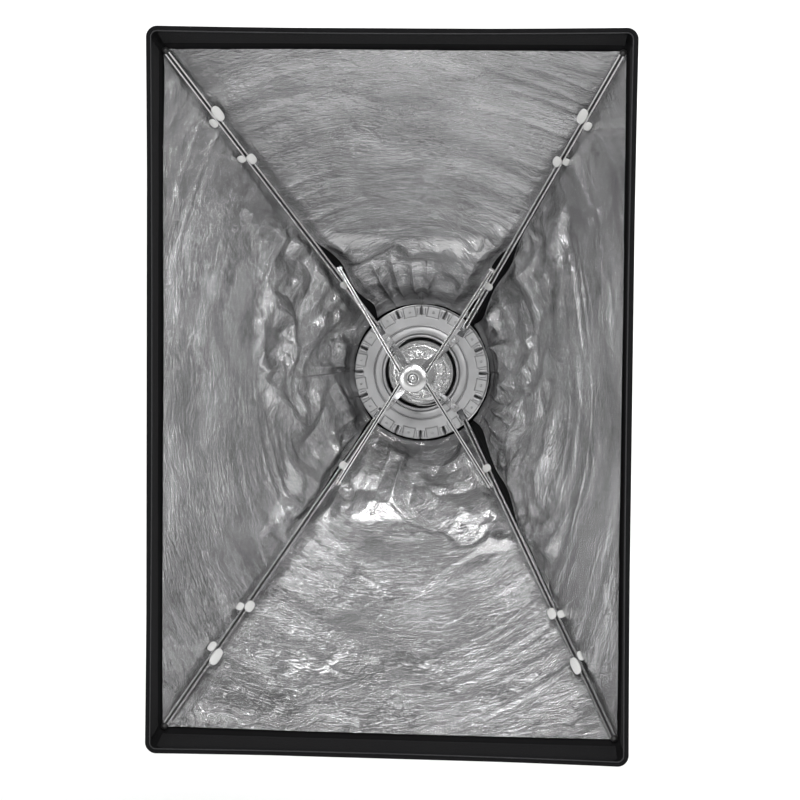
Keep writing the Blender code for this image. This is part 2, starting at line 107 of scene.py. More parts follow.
class SoftboxSizes(bpy.types.PropertyGroup):
    half_width: FloatProperty(name="Half width", description="Half the open front's width",
                              default=box_half("edge_binding", 0) - 0.0008, unit="LENGTH")
    half_height: FloatProperty(name="Half height", description="Half the open front's height",
                               default=box_half("edge_binding", 2) - 0.0008, unit="LENGTH")
    front: FloatProperty(name="Front depth", description="Mount plane to front edge",
                         default=front_of("edge_binding"), unit="LENGTH")
    seam_half_width: FloatProperty(name="Half width at the rib tips",
                                   description="Half width where the ribs end",
                                   default=0.2935, unit="LENGTH")
    seam_half_height: FloatProperty(name="Half height at the rib tips",
                                    description="Half height where the ribs end",
                                    default=0.4355, unit="LENGTH")
    seam_depth: FloatProperty(name="Rib tip depth", description="Mount plane to the rib tips",
                              default=0.414, unit="LENGTH")
    cloth_back: FloatProperty(name="Cloth back depth", description="Where the cloth starts",
                              default=back_of("shell_top"), unit="LENGTH")
    cloth_ring: FloatProperty(name="Cloth radius at the ring",
                              description="Radius of the cloth where it meets the ring",
                              default=0.097, unit="LENGTH")
    lining_inset: FloatProperty(name="Lining inset", description="Shell face to lining face",
                                default=0.0024, unit="LENGTH")
    lining_front: FloatProperty(name="Lining front depth", description="Lining's front edge",
                                default=front_of("lining_top"), unit="LENGTH")
    crumple: FloatProperty(name="Crumple", description="Height of the creases by the ring",
                           default=0.0120, unit="LENGTH")
    pitch: FloatProperty(name="Cloth pitch", description="Grid spacing of the lining",
                         default=0.0021, unit="LENGTH")


class SoftboxColours(bpy.types.PropertyGroup):
    lining: FloatVectorProperty(name="Lining", description="Metallised lining", size=3,
                                subtype="COLOR", default=(0.57, 0.57, 0.575))
    cloth: FloatVectorProperty(name="Outer cloth", description="Coated outer cloth", size=3,
                               subtype="COLOR", default=(0.007, 0.007, 0.0075))
    tape: FloatVectorProperty(name="Tape", description="Woven edge and touch tape", size=3,
                              subtype="COLOR", default=(0.007, 0.007, 0.0075))
    casting: FloatVectorProperty(name="Casting", description="Speed ring casting", size=3,
                                 subtype="COLOR", default=(0.43, 0.43, 0.435))
    alloy: FloatVectorProperty(name="Bright alloy", description="Ribs, struts and hub", size=3,
                               subtype="COLOR", default=(0.80, 0.80, 0.80))
    steel: FloatVectorProperty(name="Steel", description="Pins, rivets and screws", size=3,
                               subtype="COLOR", default=(0.50, 0.50, 0.51))
    ties: FloatVectorProperty(name="Ties", description="White cotton ties", size=3,
                              subtype="COLOR", default=(0.62, 0.62, 0.61))
    plastic: FloatVectorProperty(name="Plastic", description="Rib ends", size=3,
                                 subtype="COLOR", default=(0.02, 0.02, 0.02))
    floor: FloatVectorProperty(name="Floor", description="Studio floor", size=3,
                               subtype="COLOR", default=(0.86, 0.86, 0.86))


def sizes():
    return bpy.context.scene.softbox_sizes


def colours():
    return bpy.context.scene.softbox_colours


# ---------------------------------------------------------------- numbers and surfaces

def half_edge(side):
    """Half the length of a wall's front edge."""
    s = sizes()
    return s.half_height if side in ("left", "right") else s.half_width


def smoothstep(low, high, value):
    t = np.clip((value - low) / (high - low), 0.0, 1.0)
    return t * t * (3.0 - 2.0 * t)


def random_table(seed):
    return np.random.default_rng(seed).random((256, 256))


def soft_noise(p, q, size_p, size_q, seed):
    """Smooth noise from 0 to 1: random values on a lattice, joined by quintic steps."""
    table = random_table(seed)
    x, y = p / size_p + 97.3, q / size_q + 53.7
    i, j = np.floor(x).astype(int), np.floor(y).astype(int)
    u, v = x - i, y - j
    u, v = u * u * u * (u * (6 * u - 15) + 10), v * v * v * (v * (6 * v - 15) + 10)
    a, b = table[i % 256, j % 256], table[(i + 1) % 256, j % 256]
    c, d = table[i % 256, (j + 1) % 256], table[(i + 1) % 256, (j + 1) % 256]
    return (a * (1 - u) + b * u) * (1 - v) + (c * (1 - u) + d * u) * v


def facets(p, q, size, seed, bend=0.22):
    """Flat facets with sharp creases, from 0 to 1: random heights at the corners of a lattice
    of triangles, joined by planes, with the lattice first bent by smooth noise."""
    table = random_table(seed)
    wide = size * 1.7
    x = p / size + bend * 4 * (soft_noise(p, q, wide, wide, seed + 1) - 0.5)
    y = q / size + bend * 4 * (soft_noise(p, q, wide, wide, seed + 2) - 0.5)
    skew = (x + y) * (sqrt(3) - 1) / 2
    x, y = x + skew + 71.0, y + skew + 37.0
    i, j = np.floor(x).astype(int), np.floor(y).astype(int)
    u, v = x - i, y - j
    a, c = table[i % 256, j % 256], table[(i + 1) % 256, (j + 1) % 256]
    right, up = table[(i + 1) % 256, j % 256], table[i % 256, (j + 1) % 256]
    lower = a * (1 - u) + right * (u - v) + c * v
    upper = a * (1 - v) + up * (v - u) + c * u
    return np.where(u > v, lower, upper)


def ridges(p, q, size_p, size_q, seed):
    """Rounded valleys between sharper crests, from 0 to 1, longer one way than the other."""
    return 1.0 - np.abs(2.0 * soft_noise(p, q, size_p, size_q, seed) - 1.0)


def grid_faces(rows, columns, around=False):
    """Quads of a grid of rows x columns points; around joins its last column to its first."""
    r = np.arange(rows - 1)[:, None]
    c = np.arange(columns if around else columns - 1)[None, :]
    n = (c + 1) % columns
    return np.stack([r * columns + c, r * columns + n, (r + 1) * columns + n,
                     (r + 1) * columns + c], axis=-1).reshape(-1, 4)


def mesh_piece(name, points, faces, finish, uv=None, smooth=True, sharp=None):
    """Puts computed points and faces (quads, plus optional end polygons) into a new piece."""
    mesh = bpy.data.meshes.new(name)
    mesh.from_pydata([], [], [])
    sizes_of = [len(f) for f in faces]
    mesh.vertices.add(len(points))
    mesh.vertices.foreach_set("co", np.asarray(points, np.float32).ravel())
    loops = np.concatenate([np.asarray(f, np.int32).ravel() for f in faces])
    mesh.loops.add(len(loops))
    mesh.loops.foreach_set("vertex_index", loops)
    mesh.polygons.add(len(sizes_of))
    mesh.polygons.foreach_set("loop_start", np.concatenate([[0], np.cumsum(sizes_of)[:-1]]))
    mesh.update(calc_edges=True)
    mesh.validate()
    if uv is not None:
        layer = mesh.uv_layers.new(name="UVMap")
        layer.data.foreach_set("uv", np.asarray(uv, np.float32)[loops].ravel())
    if smooth:
        mesh.shade_smooth()
        if sharp:
            mesh.set_sharp_from_angle(angle=radians(sharp))
    mesh.materials.append(finish)
    obj = bpy.data.objects.new(name, mesh)
    bpy.context.scene.collection.objects.link(obj)
    return obj


def swept(name, outline, path, axis_a, axis_b, finish, sharp=40, groove=None):
    """A closed outline (a, b) carried along a path of points; axis_a and axis_b, one vector or
    one for each path point, place it. Its two ends are closed with end faces. A groove, (first
    column, last column, finish), gives part of the outline a finish of its own."""
    outline, path = np.asarray(outline, float), np.asarray(path, float)
    axis_a = np.broadcast_to(np.asarray(axis_a, float), path.shape)
    axis_b = np.broadcast_to(np.asarray(axis_b, float), path.shape)
    points = (path[:, None, :] + outline[None, :, 0:1] * axis_a[:, None, :]
              + outline[None, :, 1:2] * axis_b[:, None, :])
    rows, columns = points.shape[:2]
    faces = list(grid_faces(rows, columns, around=True))
    faces.append(np.arange(columns)[::-1])
    faces.append(np.arange(columns) + (rows - 1) * columns)
    along = np.concatenate([[0], np.cumsum(np.linalg.norm(np.diff(path, axis=0), axis=1))])
    round_it = np.concatenate([[0], np.cumsum(np.linalg.norm(np.diff(outline, axis=0), axis=1))])
    uv = np.stack(np.broadcast_arrays(round_it[None, :], along[:, None]), axis=-1).reshape(-1, 2)
    obj = mesh_piece(name, points.reshape(-1, 3), faces, finish, uv, sharp=sharp)
    if groove:
        column = np.arange(len(faces)) % columns
        inside = (column >= groove[0]) & (column <= groove[1])
        inside[-2:] = False
        obj.data.materials.append(groove[2])
        obj.data.polygons.foreach_set("material_index", inside.astype(np.int32))
    return outward(obj)


def outward(obj):
    """Turns a closed piece's faces outwards if its signed volume is negative."""
    mesh = obj.data
    points = np.empty(len(mesh.vertices) * 3, np.float32)
    mesh.vertices.foreach_get("co", points)
    points = points.reshape(-1, 3)
    mesh.calc_loop_triangles()
    tri = np.empty(len(mesh.loop_triangles) * 3, np.int32)
    mesh.loop_triangles.foreach_get("vertices", tri)
    a, b, c = (points[tri.reshape(-1, 3)[:, k]] for k in range(3))
    if float((a * np.cross(b, c)).sum()) < 0:
        mesh.flip_normals()
    return obj


def rounded_outline(width, height, radius, steps=4):
    """A rectangle with round corners, as a closed loop of (a, b) points."""
    points = []
    for quarter, (ca, cb) in enumerate(((1, 1), (-1, 1), (-1, -1), (1, -1))):
        for k in range(steps + 1):
            t = pi / 2 * (quarter + k / steps)
            points.append((ca * (width / 2 - radius) + radius * cos(t),
                           cb * (height / 2 - radius) + radius * sin(t)))
    return np.array(points)


def channel_outline(width, height, wall, lip=0.0003, steps=3):
    """A U-channel open towards +b, its rims and outer corners rounded."""
    w, h = width / 2, height / 2
    corners = [(-w, -h, wall * 0.9), (w, -h, wall * 0.9), (w, h, lip), (w - wall, h, lip),
               (w - wall, -h + wall, wall * 0.6), (-w + wall, -h + wall, wall * 0.6),
               (-w + wall, h, lip), (-w, h, lip)]
    points = []
    count = len(corners)
    for k, (a, b, r) in enumerate(corners):
        before = Vector(corners[k - 1][:2]) - Vector((a, b))
        after = Vector(corners[(k + 1) % count][:2]) - Vector((a, b))
        start = Vector((a, b)) + before.normalized() * r
        end = Vector((a, b)) + after.normalized() * r
        for m in range(steps + 1):
            t = m / steps
            points.append(tuple(start * (1 - t) ** 2 + Vector((a, b)) * 2 * t * (1 - t)
                                + end * t * t))
    return np.array(points)


def turned(name, profile, finish, steps=96, closed=True, axis=None, sharp=35, dark=()):
    """A (radius, height) profile turned round an axis; height runs along the axis from its
    point. By default the axis is the lamp axis and the height is the depth. A closed profile is
    a loop; an open one starts and ends on the axis. Rows of faces in dark get the painted shade
    finish, a dark colour painted where shade falls."""
    profile = np.asarray(profile, float)
    t = np.arange(steps) * 2 * pi / steps
    if axis is None:
        place = (np.zeros(3), np.array([1.0, 0, 0]),
                 np.array([0, 0, 1.0]), np.array([0, -1.0, 0]))
    else:
        origin, along = (np.asarray(x, float) for x in axis)
        along = along / np.linalg.norm(along)
        side = np.cross(along, [0.3, 1.0, 0.2])
        side = side / np.linalg.norm(side)
        place = (origin, side, np.cross(along, side), along)
    origin, ax, az, ay = place
    loop = np.vstack([profile, profile[:1]]) if closed else profile
    points = (origin + loop[:, 0, None, None] * (np.cos(t)[None, :, None] * ax
                                                 + np.sin(t)[None, :, None] * az)
              + loop[:, 1, None, None] * ay)
    rows = len(loop)
    points = points.reshape(-1, 3)
    faces = list(grid_faces(rows, steps, around=True))
    if closed:
        faces = [np.where(f >= (rows - 1) * steps, f - (rows - 1) * steps, f) for f in faces]
        points = points[:(rows - 1) * steps]
    else:
        faces = collapse_poles(faces, steps, rows)
    along_it = np.concatenate([[0], np.cumsum(np.linalg.norm(np.diff(loop, axis=0), axis=1))])
    uv = np.stack(np.broadcast_arrays(t[None, :] * 0.05, along_it[:, None]), -1).reshape(-1, 2)
    obj = mesh_piece(name, points, faces, finish, uv[:len(points)], sharp=sharp)
    paint_shade_rows(obj, len(faces), steps, dark)
    return outward(obj)


def settle(obj, body, slot, *stands_for):
    """Says which body a rigid piece rides on and which frame parts it replaces; its slot is not
    used.
    """
    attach(obj, body)
    if stands_for:
        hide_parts(*stands_for)
    return obj


def ring_points(rows, t):
    """Points of rows of (radius, depth), each one number or one for each angle, round the lamp
    axis."""
    radius, depth = (np.stack([np.broadcast_to(row[k], t.shape) for row in rows])
                     for k in (0, 1))
    return np.stack([radius * np.cos(t), -depth, radius * np.sin(t)], axis=-1)


def paint_shade_rows(obj, count, steps, rows):
    """Gives whole rows of a turned piece's faces the painted shade finish, a dark colour painted
    where shade falls.
    """
    obj.data.materials.append(FINISHES["groove"])
    picked = np.isin(np.arange(count) // steps, list(rows))
    obj.data.polygons.foreach_set("material_index", picked.astype(np.int32))


def collapse_poles(faces, steps, rows):
    """Joins each end row of a turned grid into one point."""
    made = []
    last = (rows - 1) * steps
    for f in faces:
        f = np.where(f < steps, 0, np.where(f >= last, last, f))
        keep = [v for k, v in enumerate(f) if v != f[k - 1]]
        if len(keep) >= 3:
            made.append(np.array(keep))
    return made


# ---------------------------------------------------------------- materials

class Finish:
    """Small builder for a node material with one Principled shader."""

    def __init__(self, name, colour, roughness, metallic=0.0, **sockets):
        self.material = bpy.data.materials.new(name)
        self.material.use_nodes = True
        self.tree = self.material.node_tree
        self.shader = self.tree.nodes["Principled BSDF"]
        self.set(self.shader, "Base Color", (*colour, 1.0))
        self.set(self.shader, "Roughness", roughness)
        self.set(self.shader, "Metallic", metallic)
        for key, value in sockets.items():
            self.set(self.shader, key.replace("_", " "), value)
        self.normal = None

    def set(self, node, socket, value):
        node.inputs[socket].default_value = value

    def link(self, source, target):
        self.tree.links.new(source, target)

    def node(self, kind):
        return self.tree.nodes.new(kind)

    def place(self, uv=False, scale=(1, 1, 1), turn=0.0):
        coords = self.node("ShaderNodeTexCoord")
        mapping = self.node("ShaderNodeMapping")
        self.set(mapping, "Scale", scale)
        self.set(mapping, "Rotation", (0, 0, turn))
        self.link(coords.outputs["UV" if uv else "Object"], mapping.inputs["Vector"])
        return mapping.outputs["Vector"]

    def noise(self, vector, scale, detail=4.0, rough=0.55, warp=0.0):
        made = self.node("ShaderNodeTexNoise")
        self.set(made, "Scale", scale)
        self.set(made, "Detail", detail)
        self.set(made, "Roughness", rough)
        self.set(made, "Distortion", warp)
        self.link(vector, made.inputs["Vector"])
        return made.outputs["Fac"]

    def cells(self, vector, scale, feature="DISTANCE_TO_EDGE"):
        made = self.node("ShaderNodeTexVoronoi")
        made.feature = feature
        self.set(made, "Scale", scale)
        self.link(vector, made.inputs["Vector"])
        return made.outputs["Distance"]

    def waves(self, vector, scale, direction, warp=0.0):
        made = self.node("ShaderNodeTexWave")
        made.bands_direction = direction
        self.set(made, "Scale", scale)
        self.set(made, "Distortion", warp)
        self.link(vector, made.inputs["Vector"])
        return made.outputs["Fac"]

    def sums(self, a, b, operation="ADD"):
        made = self.node("ShaderNodeMath")
        made.operation = operation
        for k, value in enumerate((a, b)):
            if isinstance(value, (int, float)):
                made.inputs[k].default_value = value
            else:
                self.link(value, made.inputs[k])
        return made.outputs[0]

    def between(self, factor, low, high, from_low=0.0, from_high=1.0):
        made = self.node("ShaderNodeMapRange")
        for key, value in (("From Min", from_low), ("From Max", from_high), ("To Min", low),
                           ("To Max", high)):
            self.set(made, key, value)
        self.link(factor, made.inputs["Value"])
        return made.outputs["Result"]

    def bump(self, height, strength, distance):
        made = self.node("ShaderNodeBump")
        self.set(made, "Strength", strength)
        self.set(made, "Distance", distance)
        self.link(height, made.inputs["Height"])
        if self.normal is not None:
            self.link(self.normal, made.inputs["Normal"])
        self.normal = made.outputs["Normal"]
        self.link(self.normal, self.shader.inputs["Normal"])

    def tint(self, factor, low, high):
        """Colour that runs from one grey-scaled colour to another with a factor."""
        made = self.node("ShaderNodeMix")
        made.data_type = "RGBA"
        made.inputs["A"].default_value = (*low, 1.0)
        made.inputs["B"].default_value = (*high, 1.0)
        self.link(factor, made.inputs["Factor"])
        self.link(made.outputs["Result"], self.shader.inputs["Base Color"])

    def roughness(self, factor, low, high):
        self.link(self.between(factor, low, high), self.shader.inputs["Roughness"])


def scaled(colour, k):
    return tuple(min(1.0, c * k) for c in colour)


def finish_lining():
    """Metallised woven cloth: threads, drawn streaks, crinkles and uneven tarnish."""
    colour = tuple(colours().lining)
    made = Finish("silver_lining", colour, 0.3, 0.92)
    uv = made.place(uv=True)
    warp = made.noise(made.place(uv=True, scale=(1.0, 14.0, 1.0)), 45.0, 4.0, 0.6)
    weft = made.noise(made.place(uv=True, scale=(14.0, 1.0, 1.0)), 45.0, 4.0, 0.6)
    patches = made.between(made.noise(uv, 11.0, 2.0), 0.25, 1.0, 0.40, 0.60)
    streaks = made.noise(made.place(uv=True, scale=(1.0, 5.0, 1.0), turn=0.10), 24.0, 5.0, 0.6,
                         0.5)
    crinkle = made.sums(made.noise(made.place(uv=True, scale=(1.0, 2.4, 1.0)), 85.0, 5.0, 0.6,
                                   1.2), patches, "MULTIPLY")
    creases = made.cells(made.place(uv=True, scale=(1.0, 1.7, 1.0)), 46.0)
    tarnish = made.noise(made.place(uv=True, scale=(1.0, 2.2, 1.0)), 6.5, 4.0, 0.6, 0.8)
    made.tint(made.between(tarnish, 0.0, 1.0, 0.34, 0.66), scaled(colour, 0.74),
              scaled(colour, 1.24))
    made.roughness(made.noise(uv, 30.0, 5.0), 0.06, 0.19)
    drawn = made.between(made.noise(uv, 5.5, 2.0), 0.10, 1.0, 0.42, 0.58)
    made.bump(made.sums(streaks, drawn, "MULTIPLY"), 0.45, 0.0036)
    made.bump(crinkle, 0.65, 0.0030)
    made.bump(made.between(creases, 0.0, 1.0, 0.0, 0.16), 0.22, 0.0011)
    made.bump(made.sums(warp, weft), 0.30, 0.0008)
    return made.material


def finish_cloth(name, colour, pitch=420.0, rough=0.78, sheen=0.02):
    """Tightly woven cloth: crossing threads, slight fading and a soft sheen."""
    made = Finish(name, colour, rough, Sheen_Weight=sheen, Sheen_Roughness=0.5,
                  Specular_IOR_Level=0.08)
    place = made.place()
    threads = made.sums(made.waves(place, pitch, "X", 0.4), made.waves(place, pitch, "Z", 0.4),
                        "MULTIPLY")
    made.tint(made.noise(place, 6.0, 4.0), scaled(colour, 0.75), scaled(colour, 1.35))
    made.roughness(made.noise(place, 14.0, 4.0), rough - 0.08, min(1.0, rough + 0.12))
    made.bump(made.noise(place, 28.0, 5.0), 0.25, 0.0015)
    made.bump(threads, 0.25, 0.0002)
    return made.material


def finish_tape():
    """Woven tape with ribs across it, its own coordinates running along it."""
    colour = tuple(colours().tape)
    made = Finish("woven_tape", colour, 0.9, Sheen_Weight=0.02, Sheen_Roughness=0.6,
                  Specular_IOR_Level=0.08)
    uv = made.place(uv=True)
    made.tint(made.noise(uv, 40.0, 5.0), scaled(colour, 0.7), scaled(colour, 1.5))
    made.bump(made.waves(uv, 260.0, "Y", 0.3), 0.4, 0.0003)
    made.bump(made.noise(uv, 900.0, 2.0), 0.3, 0.0003)
    return made.material


def finish_loops():
    """Touch tape: a dense nap of tiny loops."""
    colour = scaled(tuple(colours().tape), 1.25)
    made = Finish("touch_tape", colour, 0.95, Sheen_Weight=0.03, Sheen_Roughness=0.7,
                  Specular_IOR_Level=0.06)
    uv = made.place(uv=True)
    made.tint(made.noise(uv, 700.0, 3.0), scaled(colour, 0.5), scaled(colour, 1.9))
    made.bump(made.cells(uv, 900.0, "F1"), 0.6, 0.0006)
    return made.material


def finish_casting():
    """Cast alloy with a fine shot grain and a few dull patches."""
    colour = tuple(colours().casting)
    made = Finish("cast_alloy", colour, 0.45, 0.75)
    place = made.place()
    made.tint(made.noise(place, 45.0, 5.0), scaled(colour, 0.82), scaled(colour, 1.2))
    made.roughness(made.noise(place, 120.0, 4.0), 0.36, 0.54)
    made.bump(made.noise(place, 1400.0, 3.0), 0.18, 0.0002)
    made.bump(made.noise(place, 160.0, 3.0), 0.08, 0.0006)
    return made.material


def finish_metal(name, colour, low, high, uv=False, stretch=(1.0, 1.0, 1.0), grain=0.08):
    """Bare metal with drawing marks stretched one way and small scuffs."""
    made = Finish(name, colour, (low + high) / 2, 1.0)
    place = made.place(uv=uv, scale=stretch)
    even = made.place(uv=uv)
    made.tint(made.noise(even, 60.0, 5.0), scaled(colour, 0.84), scaled(colour, 1.12))
    made.roughness(made.noise(place, 400.0, 4.0), low, high)
    made.bump(made.noise(place, 900.0, 3.0), grain, 0.0002)
    return made.material


def finish_plastic():
    """Moulded plastic with a fine spark-eroded grain."""
    colour = tuple(colours().plastic)
    made = Finish("moulded_plastic", colour, 0.45)
    place = made.place()
    made.tint(made.noise(place, 30.0, 3.0), scaled(colour, 0.8), scaled(colour, 1.4))
    made.roughness(made.noise(place, 90.0, 3.0), 0.38, 0.55)
    made.bump(made.noise(place, 1500.0, 2.0), 0.2, 0.0002)
    return made.material


FINISHES = {}


def make_finishes():
    c = colours()
    FINISHES["lining"] = finish_lining()
    FINISHES["cloth"] = finish_cloth("outer_cloth", tuple(c.cloth))
    FINISHES["tape"] = finish_tape()
    FINISHES["loops"] = finish_loops()
    # piping: a cord whose lighter colour, tape x4.5, is a painted highlight along the hem's roll
    FINISHES["piping_painted_highlight"] = finish_cloth("piping_painted_highlight", scaled(tuple(c.tape), 4.5), 700.0, 0.8, 0.4)
    FINISHES["ties"] = finish_cloth("white_ties", tuple(c.ties), 600.0, 0.8, 0.3)
    FINISHES["casting"] = finish_casting()
    FINISHES["drawn"] = finish_metal("drawn_alloy", tuple(c.alloy), 0.16, 0.34, uv=True,
                                     stretch=(8.0, 0.25, 1.0))
    # painted shade: steel darkened to stand in for the shade inside channels, in the throat lip's
    # bore and on the cap's rim
    FINISHES["groove"] = finish_metal("painted_shade_metal", scaled(tuple(c.steel), 0.30), 0.5, 0.6)
    FINISHES["bright"] = finish_metal("bright_alloy", tuple(c.alloy), 0.16, 0.30)
    FINISHES["steel"] = finish_metal("plated_steel", tuple(c.steel), 0.25, 0.42)
    FINISHES["plastic"] = finish_plastic()


# ---------------------------------------------------------------- cloth walls

def wall_points(side, share, depth, inset):
    """The cloth's place, a function of share (0 to 1 from seam to seam) and depth: a quarter of
    the ring's circle joined by straight lines to the wall's edge at the rib tips, then on to the
    front edge. The arrays broadcast."""
    s = sizes()
    turn = SIDES.index(side)
    share, depth = np.broadcast_arrays(share, depth)
    t = -pi / 4 + turn * pi / 2 + share * pi / 2
    ring = s.cloth_ring - inset
    arc = np.stack([ring * np.cos(t), ring * np.sin(t)], axis=-1)
    ends = [(1, -1), (1, 1), (-1, 1), (-1, -1)]

    def straight(half_width, half_height):
        half = np.array([half_width - inset, half_height - inset])
        a, b = np.array(ends[turn]) * half, np.array(ends[(turn + 1) % 4]) * half
        return a * (1 - share[..., None]) + b * share[..., None]

    seam = straight(s.seam_half_width, s.seam_half_height)
    front = straight(s.half_width, s.half_height)
    k = np.clip((depth - s.cloth_back) / (s.seam_depth - s.cloth_back), 0, 1)[..., None]
    m = np.clip((depth - s.seam_depth) / (s.front - s.seam_depth), 0, 1)[..., None]
    flat = (arc * (1 - k) + seam * k) * (1 - m) + front * m
    flat = round_corner(flat, turn, CORNER_RADIUS
                        * smoothstep(-0.7, 1.0, (depth - s.seam_depth) / 0.026))
    return np.stack([flat[..., 0], -depth, flat[..., 1]], axis=-1)


def round_corner(flat, turn, radius):
    """Bends the ends of a wall's cross-section round: within a radius of its corner, distance
    becomes an angle of up to an eighth of a circle."""
    run, level = (1, 0) if turn % 2 == 0 else (0, 1)
    corner = np.abs(flat[..., run]).max(axis=-1, keepdims=True)
    radius = np.maximum(radius, 1e-6)
    angle = np.clip((np.abs(flat[..., run]) - corner + radius) / radius, 0, 1) * pi / 4
    bent = angle > 0
    shape = flat.copy()
    shape[..., run] = np.where(bent, np.sign(flat[..., run])
                               * (corner - radius + radius * np.sin(angle)), flat[..., run])
    shape[..., level] = flat[..., level] - np.where(bent, np.sign(flat[..., level]) * radius
                                                    * (1 - np.cos(angle)), 0.0)
    return shape


def wall_normals(points):
    """Unit normals of a grid of points, turned towards the lamp axis and the open front."""
    across = np.gradient(points, axis=1)
    along = np.gradient(points, axis=0)
    n = np.cross(across, along)
    n /= np.maximum(np.linalg.norm(n, axis=-1, keepdims=True), 1e-12)
    middle = n[n.shape[0] // 2, n.shape[1] // 2]
    place = points[points.shape[0] // 2, points.shape[1] // 2]
    inward = np.array([-place[0], 0.0, -place[2]])
    return n if middle @ inward > 0 else -n


def seam_ends(side, corner):
    """The seam's two ends, at the ring and at the rib tips, and the wall's middle there."""
    share = np.array(1.0 if CORNER_AT_END[side][1] == corner else 0.0)
    s = sizes()
    ring = wall_points(side, share, np.array(s.cloth_back), 0.0)
    tip = wall_points(side, share, np.array(s.seam_depth), 0.0)
    middle = wall_points(side, np.array(0.5), np.array(s.seam_depth), 0.0)
    return ring, tip, middle


def blend_half(obj, side, corner):
    """Bakes a half wall's place into its mesh; the seam and outward directions worked out first
    are not used.
    """
    ring, tip, middle = seam_ends(side, corner)
    seam = (tip - ring) / np.linalg.norm(tip - ring)
    out = (tip - middle) - ((tip - middle) @ seam) * seam
    out /= np.linalg.norm(out)
    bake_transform(obj)


def half_walls(side, columns):
    """The two halves of a wall as column slices, each with the corner that it reaches."""
    middle = columns // 2
    first, second = CORNER_AT_END[side]
    return ((first, slice(0, middle + 1)), (second, slice(middle, columns)))


def cloth_halves(name, side, points, normals, across, along, finish, node, facing=1):
    """Splits a wall grid into its two halves, each a piece of its own. The shading normals come
    from the whole wall, so that the two halves meet unseen."""
    made = []
    for corner, part in half_walls(side, points.shape[1]):
        grid, shade = points[:, part], normals[:, part] * facing
        rows, columns = grid.shape[:2]
        faces = grid_faces(rows, columns)
        a, b, c = (grid.reshape(-1, 3)[faces[len(faces) // 2, k]] for k in range(3))
        if np.cross(b - a, c - b) @ shade.reshape(-1, 3)[faces[len(faces) // 2, 0]] < 0:
            faces = faces[:, ::-1]
        uv = np.stack([across[:, part], along[:, part]], axis=-1).reshape(-1, 2)
        obj = mesh_piece(f"{name}_{side}_{corner}", grid.reshape(-1, 3), list(faces), finish, uv)
        obj.data.normals_split_custom_set_from_vertices(shade.reshape(-1, 3))
        blend_half(obj, side, corner)
        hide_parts(node)
        made.append(obj)
    return made


def wall_coordinates(points):
    """Distances across (from the wall's middle) and along each grid point, in metres."""
    step_a = np.linalg.norm(np.diff(points, axis=1), axis=-1)
    across = np.concatenate([np.zeros((points.shape[0], 1)), np.cumsum(step_a, axis=1)], axis=1)
    across = across - across[:, points.shape[1] // 2][:, None]
    step_b = np.linalg.norm(np.diff(points, axis=0), axis=-1)
    along = np.concatenate([np.zeros((1, points.shape[1])), np.cumsum(step_b, axis=0)], axis=0)
    return across, along


def lining_height(side, points, across, along):
    """How far the lining stands in from its wall.

    By the ring it is bunched: facets of three sizes and pleats that run out from the ring, and
    the bunched part ends at a raised, wavering fold. Beyond the fold are long shallow folds side
    by side with the front edge, strongest by the ribs, and small facets. The left and right
    walls also have broad swells.
    """
    seed = 100 * (SIDES.index(side) + 1)
    crumple = sizes().crumple
    x, z = points[..., 0], points[..., 2]
    waver = (0.30 * (soft_noise(across, along, 0.15, 0.30, seed + 8) - 0.5)
             + 0.08 * (soft_noise(across, along, 0.05, 0.05, seed + 9) - 0.5))
    reach = np.maximum(np.abs(x) / 0.186, np.abs(z) / 0.200) + waver
    bunched = 1.0 - smoothstep(0.95, 1.05, reach)
    ring_clear = 0.15 + 0.85 * smoothstep(0.0, 0.055, along)
    rough_patch = smoothstep(0.40, 0.65, soft_noise(across, along, 0.06, 0.06, seed + 17))
    big = facets(across, along, 0.080, seed + 11) - 0.35
    middling = facets(across, along, 0.034, seed + 21) - 0.5
    small = (facets(across, along, 0.017, seed + 31) - 0.5) * (0.35 + 0.9 * rough_patch)
    angle = np.arctan2(z, x)
    pleat = ridges(angle, along, 0.16, 0.16, seed + 41) - 0.5
    inner = crumple * (1.40 * big + 1.15 * middling + 0.36 * small
                       + 0.70 * pleat * (1.0 - smoothstep(0.02, 0.16, along)) + 0.45)
    half = np.abs(across[:, -1:])
    by_rib = np.exp(-(half - np.abs(across)) / 0.075)
    level = side in ("top", "bottom")
    lean = {"top": 0.15, "bottom": 0.5}.get(side, 0.06)
    pitch = 0.024 if level else 0.017
    long_fold = ridges(across, along + lean * np.abs(across), 0.17, pitch, seed + 51) - 0.55
    wide_fold = soft_noise(across, along, 0.22, 0.07, seed + 61) - 0.5
    crinkle = facets(across, along, 0.017, seed + 71) - 0.5
    streak = 0.0019 if level else 0.0034
    drawn_in = smoothstep(0.35, 0.75, soft_noise(across, along, 0.20, 0.06, seed + 55))
    spread = 0.25 + 2.6 * by_rib if level else 0.9 * drawn_in + 0.8 * by_rib
    patch = smoothstep(0.45, 0.75, soft_noise(across, along, 0.09, 0.09, seed + 81))
    outer = (0.0024 + streak * long_fold * spread + 0.0060 * wide_fold
             + 0.0006 * crinkle + 0.0016 * patch * (facets(across, along, 0.030, seed + 91) - 0.5))
    by_seam = smoothstep(0.0, 0.026, half - np.abs(across))
    by_front = smoothstep(0.0, 0.04, along[-1:, :] - along)
    curl = 0.0022 * (1.0 - smoothstep(0.0, 0.010, along))
    if not level:
        outer = outer + 0.0075 * (soft_noise(across, along, 0.16, 0.085, seed + 65) - 0.4)
    height = np.maximum(ring_clear * (bunched * inner) + (1 - bunched) * outer, 0.0)
    return curl + (height + 0.0004) * (0.10 + 0.90 * by_seam) * (0.25 + 0.75 * by_front)


